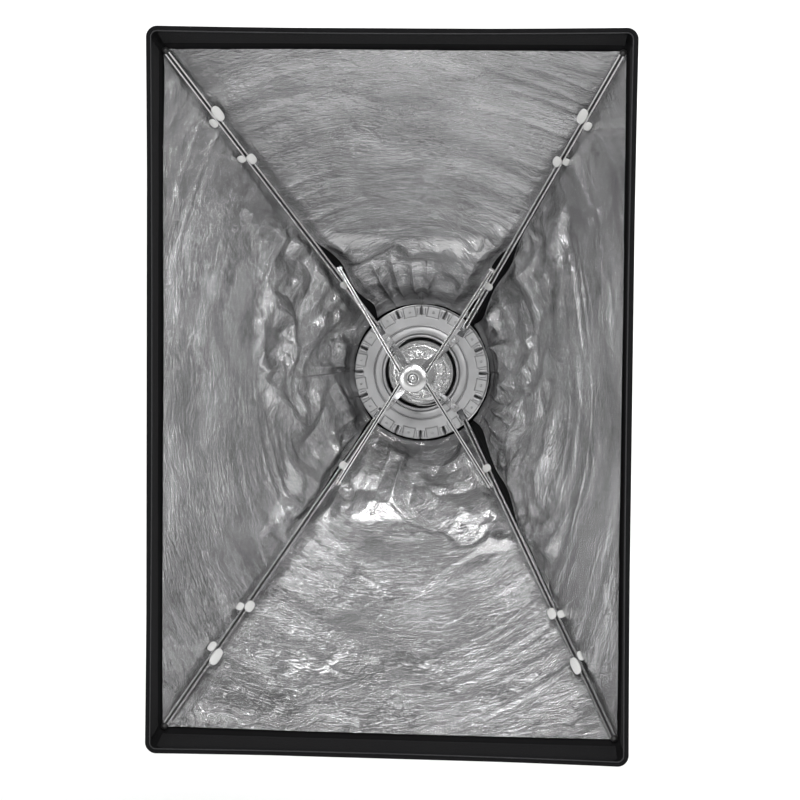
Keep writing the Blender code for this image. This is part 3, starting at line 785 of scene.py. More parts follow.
def lining_edge(side, share, along_share):
    """Draws the lining's side edges in from the seams by the ring, which leaves slits there
    that show the black cloth behind; share is moved, never past its neighbours."""
    s = sizes()
    first, second = CORNER_AT_END[side]
    slit = {"top": 0.0100, "bottom": 0.0030, "left": 0.0035, "right": 0.0070}[side]
    width_here = 0.14 + along_share * (1.45 * s.half_width if side in ("top", "bottom")
                                       else 1.65 * s.half_height)
    pull = slit * (1.0 - smoothstep(0.26, 0.36, along_share))
    pull = pull * smoothstep(-0.04, 0.05, along_share) + 0.0012
    wobble = 1.0 + 0.35 * np.sin(along_share * 31.0 + SIDES.index(side))
    trim = pull * wobble / width_here
    return trim + share * (1.0 - 2.0 * trim)


def build_lining():
    s = sizes()
    for side in SIDES:
        columns = 2 * int(half_edge(side) / s.pitch) + 1
        rows = int(0.56 / s.pitch)
        share = np.linspace(0.0, 1.0, columns)[None, :]
        down = np.linspace(0.0, 1.0, rows)[:, None]
        start = s.cloth_back + 0.0015
        depth = start + (s.lining_front - start) * down
        base = wall_points(side, lining_edge(side, share, down), depth, s.lining_inset)
        across, along = wall_coordinates(base)
        lift = lining_height(side, base, across, along)
        points = base + wall_normals(base) * lift[..., None]
        halves = cloth_halves("lining", side, points, wall_normals(points), across, along,
                              FINISHES["lining"], f"lining_{side}")
        declare_sheets(halves, side, base)


def declare_sheets(halves, side, base):
    """Measures each half's flat length along the plain wall, before it is creased; the length is
    not used further. Declares each half as a sheet; its flat size is the plain wall's, before it
    is creased.
    """
    for obj, (corner, part) in zip(halves, half_walls(side, base.shape[1])):
        grid = base[:, part]
        length = np.linalg.norm(np.diff(grid[:, 0], axis=0), axis=1).sum()
        length = max(length, np.linalg.norm(np.diff(grid[:, -1], axis=0), axis=1).sum())


def shell_height(side, across, along):
    """How far the outer cloth stands in from its wall: slack waves and creases near the ring."""
    seed = 1000 + 100 * SIDES.index(side)
    half = np.abs(across[:, -1:])
    by_seam = smoothstep(0.0, 0.03, half - np.abs(across))
    slack = soft_noise(across, along, 0.16, 0.12, seed) - 0.5
    fold = ridges(across + 0.3 * along, along, 0.20, 0.035, seed + 5) - 0.5
    pucker = ridges(across, along, 0.012, 0.10, seed + 7) - 0.5
    by_ring = 1.0 - smoothstep(0.0, 0.16, along)
    crease = facets(across, along, 0.035, seed + 9) - 0.5
    wave = 0.0022 * slack + 0.0010 * fold + by_ring * (0.0016 * crease + 0.0012 * pucker)
    return by_seam * (np.minimum(wave, 0.0016) - 0.0016)


def build_shell():
    s = sizes()
    pitch = 0.005
    for side in SIDES:
        columns = 2 * int(half_edge(side) / pitch) + 1
        share = np.linspace(0.0, 1.0, columns)[None, :]
        depth = np.concatenate([np.linspace(s.cloth_back, s.seam_depth, 110),
                                np.linspace(s.seam_depth, s.front - 0.001, 8)[1:]])[:, None]
        base = wall_points(side, share, depth, 0.0)
        across, along = wall_coordinates(base)
        lift = shell_height(side, across, along)
        lift = lift * smoothstep(0.0, 0.03, along[-1:, :] - along)
        points = base + wall_normals(base) * lift[..., None]
        halves = cloth_halves("shell", side, points, wall_normals(points), across, along,
                              FINISHES["cloth"], f"shell_{side}", facing=-1)
        declare_sheets(halves, side, base)


def build_touch_tape():
    """Loop tape inside the front lip, a low crowned strip with rounded edges."""
    s = sizes()
    for side in SIDES:
        share = np.linspace(0.012, 0.988, 121)[None, :]
        over = np.linspace(0.0, 1.0, 13)[:, None]
        behind, short_of_edge = 0.004, 0.0075
        depth = s.seam_depth - behind + (s.front - short_of_edge - s.seam_depth + behind) * over
        base = wall_points(side, share, depth, 0.0)
        across, along = wall_coordinates(base)
        crown = 0.0014 * (1.0 - np.abs(2.0 * over - 1.0) ** 6) + 0.0010
        ripple = 0.0005 * (soft_noise(across, along, 0.030, 0.02, 77 + SIDES.index(side)) - 0.5)
        points = base + wall_normals(base) * (crown + ripple)[..., None]
        cloth_halves("velcro", side, points, wall_normals(points), across, along,
                     FINISHES["loops"], f"velcro_{side}")


# ---------------------------------------------------------------- front hem and seams

def hem_path(side, corner, inset, radius):
    """From the middle of a front edge to the middle of its round corner: a straight line and
    an eighth of a circle. Returns the points and the outward direction at each."""
    s = sizes()
    upright = side in ("left", "right")
    w, h = s.half_width - inset, s.half_height - inset
    run, level = (h, w) if upright else (w, h)
    t = np.linspace(0.0, 1.0, 40)
    arc = np.linspace(0.0, pi / 4, 9)[1:]
    turn = np.stack([np.sin(arc), np.cos(arc)], axis=-1)
    line = np.stack([t * (run - radius), level - HEM_BOW * (1 - t ** 2)], axis=-1)
    bend = np.array([run - radius, level - radius]) + radius * turn
    flat = np.vstack([line, bend])
    out = np.vstack([np.tile([0.0, 1.0], (len(t), 1)), turn])
    if upright:
        flat, out = flat[:, ::-1], out[:, ::-1]
    return flat * CORNERS[corner], out * CORNERS[corner]


def build_hem():
    """The bound front edge: a rolled hem, and along its inner side a piping cord whose lighter
    colour is a painted highlight of the hem's roll.
    """
    s = sizes()
    forward = np.array([0.0, -1.0, 0.0])
    hem = rounded_outline(0.0058, 0.0062, 0.0024, 5)
    for side in SIDES:
        for corner in CORNER_AT_END[side]:
            flat, out = hem_path(side, corner, HEM_INSET, HEM_RADIUS)
            depth = s.front - 0.0029
            path = np.stack([flat[:, 0], np.full(len(flat), -depth), flat[:, 1]], axis=-1)
            away = np.stack([out[:, 0], np.zeros(len(out)), out[:, 1]], axis=-1)
            obj = swept(f"edge_hem_{side}_{corner}", hem, path, away, forward,
                        FINISHES["tape"], sharp=60)
            blend_half(obj, side, corner)
            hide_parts("edge_binding")
            cord = rounded_outline(0.0013, 0.0013, 0.0006, 2)
            # a lighter cord: its colour is a painted highlight along the hem
            obj = swept(f"edge_piping_{side}_{corner}", cord, path - away * 0.0032
                        + forward * 0.0022, away, forward, FINISHES["piping_painted_highlight"], sharp=60)
            blend_half(obj, side, corner)


def build_seam_tapes():
    """Bound seams down the four corners outside."""
    s = sizes()
    for corner, (sx, sz) in CORNERS.items():
        side = "top" if sz > 0 else "bottom"
        share = 1.0 if CORNER_AT_END[side][1] == corner else 0.0
        depth = np.linspace(s.cloth_back + 0.002, s.front - 0.022, 70)
        path = wall_points(side, np.full(70, share), depth, 0.0)
        away = np.array([sx, 0.0, sz]) / sqrt(2)
        side_way = np.cross(np.gradient(path, axis=0)[35], away)
        side_way /= np.linalg.norm(side_way)
        fin = rounded_outline(0.0052, 0.0022, 0.0009, 3)
        obj = swept(f"seam_binding_{corner}", fin, path + away * 0.0016, away, side_way,
                    FINISHES["tape"], sharp=60)
        settle(obj, f"rib_{corner}", "black_tape")


def build_collar():
    """The elastic hem round the ring: a puckered band that turns in under the cloth's edge."""
    steps, rows = 480, 15
    t = np.linspace(0, 2 * pi, steps, endpoint=False)[None, :]
    over = np.linspace(0.0, 1.0, rows)[:, None]
    ring_r = box_half("ring_casting", 0)
    outer = sizes().cloth_ring
    gap, fullness, elastic = 0.0009, 0.0075, 0.0006
    mid = (ring_r + gap + outer) / 2
    half = (outer - ring_r - gap) / 2
    pucker = 0.35 * (ridges(t, over, 0.055, 4.0, 7) - 0.5)
    r = mid + half * np.cos(over * pi) * (1 + 0.25 * pucker)
    depth = sizes().cloth_back + 0.001 - fullness * np.sin(over * pi) * (1 + pucker)
    points = np.stack(np.broadcast_arrays(r * np.cos(t), -depth, r * np.sin(t)), axis=-1)
    faces = grid_faces(rows, steps, around=True)
    uv = np.stack(np.broadcast_arrays(t * ring_r, over * 0.02), axis=-1).reshape(-1, 2)
    obj = mesh_piece("collar_hem", points.reshape(-1, 3), list(faces), FINISHES["cloth"], uv)
    thicken = obj.modifiers.new("thickness", "SOLIDIFY")
    thicken.thickness = elastic
    thicken.offset = 0.0
    settle(obj, "ring", "black_cloth", "collar")


# ---------------------------------------------------------------- ribs, struts and ties

class Bar:
    """The frame of a straight bar from one point to another in an upright plane."""

    def __init__(self, start, end):
        self.start, self.end = np.array(start, float), np.array(end, float)
        self.length = float(np.linalg.norm(self.end - self.start))
        self.along = (self.end - self.start) / self.length
        self.side = np.cross(self.along, [0.0, 1.0, 0.0])
        self.side /= np.linalg.norm(self.side)
        self.open = np.cross(self.side, self.along)
        middle = (self.start + self.end) / 2
        if self.open @ np.array([-middle[0], -0.35, -middle[2]]) < 0:
            self.open = -self.open

    def at(self, distance, off=0.0, side=0.0):
        return self.start + self.along * distance + self.open * off + self.side * side


def middle_of(node):
    low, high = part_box(node)
    return (np.array(low) + np.array(high)) / 2


def rib_bar(corner):
    """The rib's centre line, from its hinge to the end of its tip."""
    pivot = np.array(joint(f"rib_hinge_{corner}")["pos_m"])
    tip = middle_of(f"rib_tip_{corner}")
    along = (tip - pivot) / np.linalg.norm(tip - pivot)
    return Bar(pivot, tip + along * 0.0044)


def strut_bar(corner):
    """The strut's centre line, from its hub pin to its rivet's place on it."""
    pivot = np.array(joint(f"strut_hinge_{corner}")["pos_m"])
    rivet = middle_of(f"strut_rivet_{corner}")
    axis = np.array(joint(f"strut_hinge_{corner}")["axis"])
    rivet = rivet - axis * ((rivet - pivot) @ axis)
    return Bar(pivot, rivet)


def build_channel(kind, corner, outline, path, bar):
    """A drawn channel along a rib or strut, with painted shade inside, in place of the frame's own
    bar.
    """
    # columns 15 to 23 are the channel's inside; they get the painted shade finish
    obj = swept(f"{kind}_channel_{corner}", outline, path, bar.side, bar.open,
                FINISHES["drawn"], sharp=50, groove=(15, 23, FINISHES["groove"]))
    settle(obj, f"{kind}_{corner}", "bright_alloy", f"{kind}_{corner}")


def build_ribs():
    for corner in CORNERS:
        bar = rib_bar(corner)
        path = np.linspace(bar.at(0.0133), bar.at(bar.length - 0.0062), 60)
        build_channel("rib", corner, channel_outline(0.0068, 0.0068, 0.0020), path, bar)
        cap = [(0.0, 0.0), (0.0035, 0.0), (0.0040, 0.0006), (0.0040, 0.0030),
               (0.0036, 0.0046), (0.0024, 0.0057), (0.0, 0.0060)]
        obj = turned(f"rib_end_{corner}", cap, FINISHES["plastic"], 32, closed=False,
                     axis=(bar.at(bar.length - 0.0060), bar.along))
        settle(obj, f"rib_{corner}", "black_plastic", f"rib_tip_{corner}")


def build_struts():
    for corner in CORNERS:
        bar = strut_bar(corner)
        outline = channel_outline(0.0044, 0.0050, 0.0013, lip=0.00022)
        path = np.linspace(bar.at(-0.0022), bar.at(bar.length + 0.0032), 40)
        build_channel("strut", corner, outline, path, bar)
        build_strut_rivet(corner)


def build_strut_rivet(corner):
    """A rivet through strut and rib side: a shank with a domed head at its free end."""
    low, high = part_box(f"strut_rivet_{corner}")
    axis = np.array(joint(f"strut_hinge_{corner}")["axis"])
    centre = middle_of(f"strut_rivet_{corner}")
    half = sum((high[k] - low[k]) * abs(axis[k]) for k in (0, 2)) / 2 - 0.0008
    outward_sign = 1.0 if axis @ (strut_bar(corner).start - centre) > 0 else -1.0
    profile = [(0.0, -half), (0.0013, -half), (0.0013, half - 0.0011), (0.0026, half - 0.0010),
               (0.0025, half - 0.0004), (0.0016, half + 0.0001), (0.0, half + 0.0003)]
    obj = turned(f"rivet_{corner}", profile, FINISHES["steel"], 24, closed=False,
                 axis=(centre, axis * outward_sign))
    settle(obj, f"strut_{corner}", "steel", f"strut_rivet_{corner}")


# share of the rib's length, half length, half width and place beside the rib of each tab
TIE_PLACES = ((0.185, 0.0062, 0.0058, 0.0), (0.632, 0.0085, 0.0056, -0.0035),
              (0.645, 0.0060, 0.0048, 0.0070), (0.785, 0.0130, 0.0058, -0.0045),
              (0.768, 0.0075, 0.0045, 0.0075))


def tie_grid(bar, share, half_long, half_wide, off_side, sign):
    """A soft tab: a superellipse pillow folded over the rib, crowned towards the open side."""
    u = np.linspace(0, 2 * pi, 40, endpoint=False)[None, :]
    v = np.linspace(0.0, 1.0, 9)[:, None]
    power = 0.75
    along = np.sign(np.cos(u)) * np.abs(np.cos(u)) ** power * half_long
    side = np.sign(np.sin(u)) * np.abs(np.sin(u)) ** power * half_wide
    rim = np.sin(v * pi) ** 0.6
    lift = np.cos(v * pi) * 0.0015 + 0.0049
    sag = -0.06 * ((side * rim + off_side) / 0.006) ** 2 * 0.01
    centre = bar.start + bar.along * share * bar.length
    return (centre + (along * rim)[..., None] * bar.along
            + ((side * rim + off_side) * sign)[..., None] * bar.side
            + (lift + sag)[..., None] * bar.open)


def build_ties():
    """White cotton ties at three places on each rib, a single tab and two pairs, in one piece
    that moves with the rib."""
    for corner, (sx, sz) in CORNERS.items():
        bar = rib_bar(corner)
        sign = 1.0 if bar.side @ np.array([sx, 0, 0]) > 0 else -1.0
        all_points, all_faces, start = [], [], 0
        for share, half_long, half_wide, off_side in TIE_PLACES:
            grid = tie_grid(bar, share, half_long, half_wide, off_side, sign)
            rows, columns = grid.shape[:2]
            faces = collapse_poles(list(grid_faces(rows, columns, around=True)), columns, rows)
            all_points.append(grid.reshape(-1, 3))
            all_faces += [f + start for f in faces]
            start += rows * columns
        obj = outward(mesh_piece(f"rib_ties_{corner}", np.vstack(all_points), all_faces,
                                 FINISHES["ties"]))
        settle(obj, f"rib_{corner}", "white_tape")


# ---------------------------------------------------------------- speed ring

def rib_plane(corner):
    """Level direction of the rib's plane, the direction square to it, and the pivot in both."""
    pivot = np.array(joint(f"rib_hinge_{corner}")["pos_m"])
    tip = middle_of(f"rib_tip_{corner}")
    u = np.array([tip[0] - pivot[0], tip[2] - pivot[2]])
    u /= np.linalg.norm(u)
    n = np.array([u[1], -u[0]])
    flat = np.array([pivot[0], pivot[2]])
    return u, n, float(flat @ u), float(flat @ n)


def casting_depth(r, t):
    """Depth of the casting's face at a radius and angle: a crowned band round the throat, a
    groove, a lower outer zone, and there 16 slots between pairs of bosses and 16 pads, each
    outlined by a groove on three sides and with a rivet in its middle."""
    front = front_of("ring_casting")
    soft = 0.00035
    band = 1.0 - smoothstep(0.0640, 0.0640 + soft * 2, r)
    crown = np.clip(1 - ((r - 0.0565) / 0.0052) ** 2, 0, 1)
    depth = front - 0.0018 + 0.0009 * band + 0.0009 * crown
    depth = depth - 0.0016 * np.exp(-((r - 0.0627) / 0.0006) ** 2)
    depth = depth - 0.0010 * (1.0 - smoothstep(0.0520, 0.0532, r))
    depth = depth - 0.0012 * smoothstep(0.0888, 0.0900, r)
    pitch = 2 * pi / 16
    off = r * np.sin(t - np.round(t / pitch) * pitch)
    pad_off = r * np.sin(t - (np.floor(t / pitch) + 0.5) * pitch)
    spare = np.ones_like(t)
    for sx, sz in CORNERS.values():
        used = np.abs(np.angle(np.exp(1j * (t - atan2(sz, sx))))) < pitch / 2
        spare = np.where(used, 0.0, spare)

    def plate(a, b, half_a, low_b, high_b, edge=soft):
        return ((1 - smoothstep(half_a, half_a + edge, np.abs(a)))
                * smoothstep(low_b, low_b + edge, b) * (1 - smoothstep(high_b, high_b + edge, b)))

    outline = plate(pad_off, r, 0.0083, 0.0752, 0.2) - plate(pad_off, r, 0.0073, 0.0762, 0.2)
    depth = depth - 0.0019 * outline - 0.0006 * plate(pad_off, r, 0.0073, 0.0762, 0.2)
    dot = np.hypot(pad_off, r - 0.0828)
    depth = depth + 0.0012 * np.sqrt(np.clip(1 - (dot / 0.0016) ** 2, 0, 1))
    for sign in (-1, 1):
        boss = np.clip(1 - ((off - sign * 0.0037) / 0.0021) ** 2, 0, 1) ** 0.5
        depth = depth + 0.0019 * boss * plate(np.zeros_like(off), r, 1.0, 0.0785, 0.0872, 0.0006)
    slit = plate(off, r, 0.0010, 0.0780, 0.2) * spare
    depth = depth * (1 - slit) + (front - 0.016) * slit
    x, z = r * np.cos(t), r * np.sin(t)
    for corner in CORNERS:
        u, n, pivot_s, pivot_off = rib_plane(corner)
        along = x * u[0] + z * u[1]
        beside = x * n[0] + z * n[1] - pivot_off
        slot = plate(beside, along, 0.0040, pivot_s - 0.0058, 0.3, 0.0003)
        depth = depth * (1 - slot) + (front - 0.015) * slot
    return depth


def build_casting():
    """The ring casting as one closed grid: its face is a depth for each radius and angle, and
    the rim, back and bore close it."""
    steps = 1080
    inner, outer = 0.0518, box_half("ring_casting", 0)
    back = back_of("ring_casting")
    t = np.linspace(0, 2 * pi, steps, endpoint=False)
    r_face = np.linspace(inner, outer, 84)
    face = casting_depth(r_face[:, None], t[None, :])
    recess, floor = 0.0615, 0.0122
    rows = list(zip(r_face, face))
    rows += [(outer, face[-1] * (1 - share) + back * share) for share in (0.5, 0.94)]
    rows += [(outer - 0.0018, back), (recess, back), (recess, floor), (inner, floor)]
    points = ring_points(rows, t)
    count = len(rows)
    quads = grid_faces(count, steps, around=True)
    closing = grid_faces(2, steps, around=True)
    closing = np.where(closing < steps, closing + (count - 1) * steps, closing - steps)
    obj = mesh_piece("speed_ring_casting", points.reshape(-1, 3), list(quads) + list(closing),
                     FINISHES["casting"], sharp=32)
    outward(obj)
    settle(obj, "ring", "cast_alloy", "ring_casting")


def cap_depth(r, t):
    """Depth of the cap's front: a raised middle, a bead, a raised rim, and between them a
    pressed zone of small uneven facets with a ring of shallow round dimples."""
    face = front_of("throat_cap") - 0.0024
    depth = face + 0.0016 * (1 - smoothstep(0.0190, 0.0202, r))
    depth = depth + 0.0011 * np.exp(-((r - 0.0340) / 0.0009) ** 2)
    depth = depth + 0.0024 * smoothstep(0.0398, 0.0407, r)
    zone = smoothstep(0.0206, 0.0220, r) * (1 - smoothstep(0.0380, 0.0394, r))
    depth = depth + 0.0008 * zone * (facets(t * 0.030, r, 0.0052, 611) - 0.5)
    depth = depth + 0.0004 * zone * (facets(t * 0.030, r, 0.0022, 623) - 0.5)
    pitch = 2 * pi / 12
    off = r * np.sin(t - np.round(t / pitch) * pitch)
    dimple = np.clip(1 - (np.hypot(off, r - 0.0285) / 0.0022) ** 2, 0, 1)
    return depth - 0.0010 * dimple - 0.0009 * np.exp(-((r - 0.0204) / 0.0006) ** 2)


def build_cap():
    """The dust cap in the throat: a spun cup, its front a depth for each radius and angle."""
    steps = 288
    t = np.linspace(0, 2 * pi, steps, endpoint=False)
    front, back = front_of("throat_cap"), back_of("throat_cap")
    grip, outer, inner = box_half("throat_cap", 0), 0.0437, 0.0425
    r_face = np.concatenate([[1e-6], np.linspace(0.002, outer - 0.0007, 62)])
    face = cap_depth(r_face[:, None], t[None, :])
    flange, ceiling = back + 0.0012, front - 0.0036
    rows = list(zip(r_face, face))
    rows += [(outer, front - 0.0006), (outer, flange), (grip, flange), (grip, back),
             (inner, back), (inner, ceiling), (1e-6, ceiling)]
    points = ring_points(rows, t)
    faces = collapse_poles(list(grid_faces(len(rows), steps, around=True)), steps, len(rows))
    obj = mesh_piece("throat_dust_cap", points.reshape(-1, 3), faces, FINISHES["bright"],
                     sharp=35)
    # the rim's three rows of faces get painted shade, for the shade in the gap round the cap
    paint_shade_rows(obj, len(faces), steps, range(len(r_face), len(r_face) + 3))
    outward(obj)
    settle(obj, "root", "bright_alloy", "throat_cap")


def build_ring_fittings():
    """Throat band with a rounded lip, and the screws of back plate, spider and insert."""
    inner = 0.0480
    front, back = front_of("throat_band"), back_of("throat_band")
    outer = 0.0515
    lip = 0.0012
    arc = np.linspace(0, pi, 9)
    middle = (inner + outer) / 2
    half = (outer - inner) / 2
    profile = [(middle - half * cos(a), front - lip + lip * sin(a)) for a in arc]
    profile += [(outer, back), (inner, back)]
    # the bore's row of faces gets painted shade, for the shade in the gap between throat and cap
    obj = turned("throat_lip", profile, FINISHES["casting"], 160, dark=(len(profile) - 1,))
    settle(obj, "ring", "cast_alloy", "throat_band")
    plate_circle, insert_circle = 0.076, 0.058
    for k in range(8):
        t = radians(22.5) + k * pi / 4
        place = np.array([plate_circle * cos(t), -0.0042, plate_circle * sin(t)])
        screw_head(f"back_plate_screw_{k}", place, (0, 1, 0), 0.0031, 0.0019, "ring")
    for corner in CORNERS:
        low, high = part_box(f"spider_screw_{corner}")
        place = middle_of(f"spider_screw_{corner}")
        place[1] = high[1]
        obj = screw_head(f"foot_screw_{corner}", place, (0, -1, 0), 0.0030,
                         high[1] - low[1], "ring")
        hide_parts(f"spider_screw_{corner}")
    for k in range(3):
        t = radians(30 + 120 * k)
        place = np.array([insert_circle * cos(t), 0.0002, insert_circle * sin(t)])
        screw_head(f"insert_screw_{k}", place, (0, 1, 0), 0.0022, 0.0011, "root")


def screw_head(name, place, way, radius, height, body):
    """A domed head with a hexagon socket: rings whose inner ones are six-sided."""
    steps = 36
    t = np.arange(steps) * 2 * pi / steps
    hexagon = cos(pi / 6) / np.cos((t % (pi / 3)) - pi / 6)
    socket = radius * 0.48
    rows = [(np.full(steps, radius), 0.0), (np.full(steps, radius), height * 0.55),
            (np.full(steps, radius * 0.9), height * 0.85), (np.full(steps, radius * 0.7), height),
            (socket * hexagon, height), (socket * hexagon * 0.97, height * 0.35),
            (np.full(steps, 1e-9), height * 0.3)]
    radii = np.stack([row[0] for row in rows])
    heights = np.array([row[1] for row in rows])[:, None]
    way = np.asarray(way, float)
    side = np.array([1.0, 0, 0])
    other = np.cross(way, side)
    points = (np.asarray(place) + (radii * np.cos(t))[..., None] * side
              + (radii * np.sin(t))[..., None] * other + heights[..., None] * way)
    faces = list(grid_faces(len(rows), steps, around=True))
    last = (len(rows) - 1) * steps
    faces = [np.array(sorted(set(f), key=list(f).index)) for f in
             (np.where(f >= last, last, f) for f in faces)]
    faces.append(np.arange(steps)[::-1])
    obj = outward(mesh_piece(name, points.reshape(-1, 3), faces, FINISHES["steel"], sharp=35))
    settle(obj, body, "steel")
    return obj


# ---------------------------------------------------------------- hub

def build_hub():
    """Domed pressed disc with a dished recess, and the release ball in it."""
    front = front_of("hub_disc")
    back = back_of("hub_disc")
    outer = box_half("hub_disc", 0)
    recess = 0.0066
    r = np.linspace(outer - 0.0008, recess + 0.0006, 22)
    x = (r - recess) / (outer - recess)
    dome = front - 0.0024 * x ** 2.2 - 0.0005 * (1 - x) ** 3
    profile = [(recess, back), (outer - 0.0006, back), (outer, back + 0.0004)]
    profile += list(zip(r, dome))
    profile += [(recess + 0.0001, front - 0.0011), (recess, front - 0.0018)]
    obj = turned("hub_cap", profile, FINISHES["bright"], 120, sharp=50)
    settle(obj, "hub", "bright_alloy", "hub_disc")
    ball = 0.0037
    seat = front_of("hub_button") - ball
    rear = back_of("hub_button")
    profile = [(0.0, rear), (0.0048, rear), (0.0050, rear + 0.0002), (0.0050, rear + 0.0010),
               (0.0026, rear + 0.0014)]
    profile += [(ball * cos(a), seat + ball * sin(a)) for a in
                np.linspace(radians(-45), radians(88), 14)]
    profile.append((0.0, seat + ball))
    obj = turned("release_ball", profile, FINISHES["bright"], 64, closed=False)
    settle(obj, "button", "bright_alloy", "hub_button")


def squash_spring():
    """Gives the spring behind the release ball a mesh of its own."""
    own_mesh(frame["nodes"]["button_spring"])


NODE_FINISH = (("mount_insert", "bright"), ("retainer_ring", "steel"), ("back_plate", "casting"),
               ("rib_pin", "steel"), ("lock_spider", "bright"), ("lock_socket", "steel"),
               ("rib_root", "steel"), ("hub_body", "casting"), ("hub_pin", "steel"),
               ("button_spring", "steel"))


def build_node_finishes():
    """Gives every frame part that stays shown its own procedural finish."""
    for name, obj in frame["nodes"].items():
        for start, finish in NODE_FINISH:
            if name.startswith(start):
                obj.data.materials.clear()
                obj.data.materials.append(FINISHES[finish])


# ---------------------------------------------------------------- studio

def add_light(name, place, aim, size, power):
    data = bpy.data.lights.new(name, "AREA")
    data.shape = "RECTANGLE"
    data.size, data.size_y = size
    data.energy = power
    obj = bpy.data.objects.new(name, data)
    bpy.context.scene.collection.objects.link(obj)
    way = Vector(aim) - Vector(place)
    obj.location = place
    obj.rotation_euler = way.to_track_quat("-Z", "Y").to_euler()
    return obj


def build_stage():
    """A pale floor that sweeps up behind, soft lights and the camera."""
    scene = bpy.context.scene
    scene.view_settings.view_transform = "Standard"
    floor_z = -0.85
    y = np.concatenate([np.linspace(-9, 3.6, 20), 3.6 + 2.0 * np.sin(np.linspace(0, pi / 2, 20)),
                        np.full(6, 5.6)])
    z = np.concatenate([np.zeros(20), 2.0 - 2.0 * np.cos(np.linspace(0, pi / 2, 20)),
                        np.linspace(2.2, 6.0, 6)]) + floor_z
    x = np.linspace(-9, 9, 8)
    points = np.stack(np.broadcast_arrays(x[None, :], y[:, None], z[:, None]), axis=-1)
    made = Finish("studio_floor", tuple(colours().floor), 0.8)
    made.tint(made.noise(made.place(), 0.8, 2.0), scaled(colours().floor, 0.985),
              scaled(colours().floor, 1.015))
    floor = mesh_piece("studio_floor", points.reshape(-1, 3), list(grid_faces(len(y), 8)),
                       made.material)
    world = bpy.data.worlds.new("studio")
    world.use_nodes = True
    world.node_tree.nodes["Background"].inputs["Color"].default_value = (1, 1, 1, 1)
    world.node_tree.nodes["Background"].inputs["Strength"].default_value = 0.17
    scene.world = world
    add_light("top_softbox", (0.0, -2.2, 2.8), (0, -0.1, -0.1), (1.4, 0.7), 20)
    add_light("key_softbox", (0.6, -4.2, 2.1), (0, -0.2, 0), (0.7, 0.5), 66)
    add_light("fill_softbox", (-2.1, -3.7, -0.2), (0, -0.2, 0), (0.4, 0.8), 14)
    add_light("left_spark", (-1.1, -4.3, 1.1), (0, -0.1, -0.1), (0.30, 0.30), 17)
    add_light("right_spark", (1.7, -4.0, 0.7), (0, -0.1, -0.1), (0.30, 0.30), 15)
    for k, (angle, power) in enumerate(((-64, 11), (-47, 11), (50, 10), (67, 11))):
        place = (4 * sin(radians(angle)), -4 * cos(radians(angle)), 0.15)
        add_light(f"strip_light_{k}", place, (0, -0.2, 0), (0.16, 1.7), power)
    add_light("backdrop_light", (0.0, 2.2, 3.6), (0, 5.2, -0.4), (4.0, 1.2), 260)
    camera = bpy.data.cameras.new("camera")
    camera.lens = 147.0
    camera.sensor_width = 36.0
    eye = bpy.data.objects.new("camera", camera)
    scene.collection.objects.link(eye)
    azimuth, elevation, roll, distance = radians(6.23), radians(4.82), radians(0.45), 4.195
    aim = Vector((-0.0051, -0.25, -0.0196))
    out = Vector((sin(azimuth) * cos(elevation), -cos(azimuth) * cos(elevation), sin(elevation)))
    eye.location = aim + out * distance
    turn = (-out).to_track_quat("-Z", "Y").to_matrix().to_4x4()
    eye.matrix_world = Matrix.Translation(eye.location) @ turn @ Matrix.Rotation(roll, 4, "Z")
    scene.camera = eye


# ---------------------------------------------------------------- operators

class SOFTBOX_OT_finishes(bpy.types.Operator):
    """Make every material and give the frame parts theirs"""
    bl_idname = "softbox.finishes"
    bl_label = "Finishes"

    def execute(self, context):
        make_finishes()
        build_node_finishes()
        return {"FINISHED"}


class SOFTBOX_OT_lining(bpy.types.Operator):
    """Build the creased silver lining"""
    bl_idname = "softbox.lining"
    bl_label = "Lining"

    def execute(self, context):
        build_lining()
        return {"FINISHED"}


class SOFTBOX_OT_shell(bpy.types.Operator):
    """Build the outer cloth and its seams"""
    bl_idname = "softbox.shell"
    bl_label = "Outer cloth"

    def execute(self, context):
        build_shell()
        build_seam_tapes()
        build_collar()
        return {"FINISHED"}


class SOFTBOX_OT_front(bpy.types.Operator):
    """Build the front hem, its piping and the touch tape"""
    bl_idname = "softbox.front"
    bl_label = "Front edge"

    def execute(self, context):
        build_touch_tape()
        build_hem()
        return {"FINISHED"}


class SOFTBOX_OT_ribs(bpy.types.Operator):
    """Build the ribs, their ends and the white ties"""
    bl_idname = "softbox.ribs"
    bl_label = "Ribs and ties"

    def execute(self, context):
        build_ribs()
        build_ties()
        return {"FINISHED"}


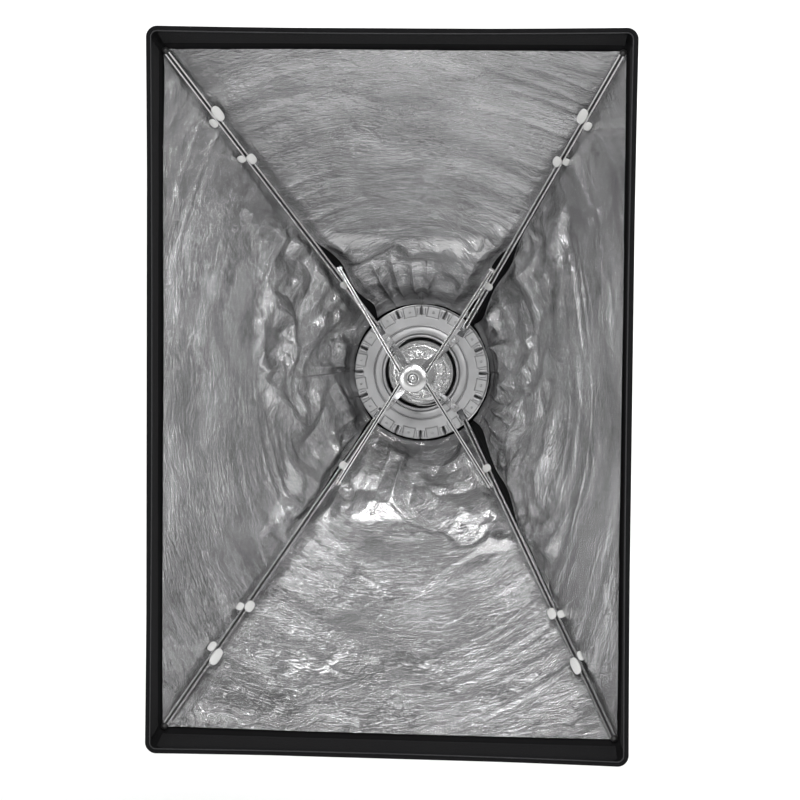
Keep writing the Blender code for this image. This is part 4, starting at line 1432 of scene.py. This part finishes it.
class SOFTBOX_OT_struts(bpy.types.Operator):
    """Build the struts and their rivets"""
    bl_idname = "softbox.struts"
    bl_label = "Struts"

    def execute(self, context):
        build_struts()
        return {"FINISHED"}


class SOFTBOX_OT_ring(bpy.types.Operator):
    """Build the speed ring's casting, throat lip, cap and screws"""
    bl_idname = "softbox.ring"
    bl_label = "Speed ring"

    def execute(self, context):
        build_casting()
        build_ring_fittings()
        build_cap()
        return {"FINISHED"}


class SOFTBOX_OT_hub(bpy.types.Operator):
    """Build the hub's disc and release ball"""
    bl_idname = "softbox.hub"
    bl_label = "Hub"

    def execute(self, context):
        build_hub()
        squash_spring()
        return {"FINISHED"}


class SOFTBOX_OT_stage(bpy.types.Operator):
    """Build the floor, lights and camera"""
    bl_idname = "softbox.stage"
    bl_label = "Studio"

    def execute(self, context):
        build_stage()
        return {"FINISHED"}


class SOFTBOX_PT_panel(bpy.types.Panel):
    """Lists the builders"""
    bl_idname = "SOFTBOX_PT_panel"
    bl_label = "Softbox"
    bl_space_type = "VIEW_3D"
    bl_region_type = "UI"
    bl_category = "Softbox"

    def draw(self, context):
        for operator in OPERATORS:
            self.layout.operator(operator.bl_idname)
        for name in SoftboxSizes.__annotations__:
            self.layout.prop(context.scene.softbox_sizes, name)


OPERATORS = (SOFTBOX_OT_finishes, SOFTBOX_OT_lining, SOFTBOX_OT_shell, SOFTBOX_OT_front,
             SOFTBOX_OT_ribs, SOFTBOX_OT_struts, SOFTBOX_OT_ring, SOFTBOX_OT_hub,
             SOFTBOX_OT_stage)
CLASSES = (SoftboxSizes, SoftboxColours, *OPERATORS, SOFTBOX_PT_panel)


def register():
    for cls in CLASSES:
        bpy.utils.register_class(cls)
    bpy.types.Scene.softbox_sizes = PointerProperty(type=SoftboxSizes)
    bpy.types.Scene.softbox_colours = PointerProperty(type=SoftboxColours)


def unregister():
    del bpy.types.Scene.softbox_colours
    del bpy.types.Scene.softbox_sizes
    for cls in reversed(CLASSES):
        bpy.utils.unregister_class(cls)


def main():
    register()
    for operator in OPERATORS:
        group, name = operator.bl_idname.split(".")
        getattr(getattr(bpy.ops, group), name)()


if __name__ == "__main__":
    main()
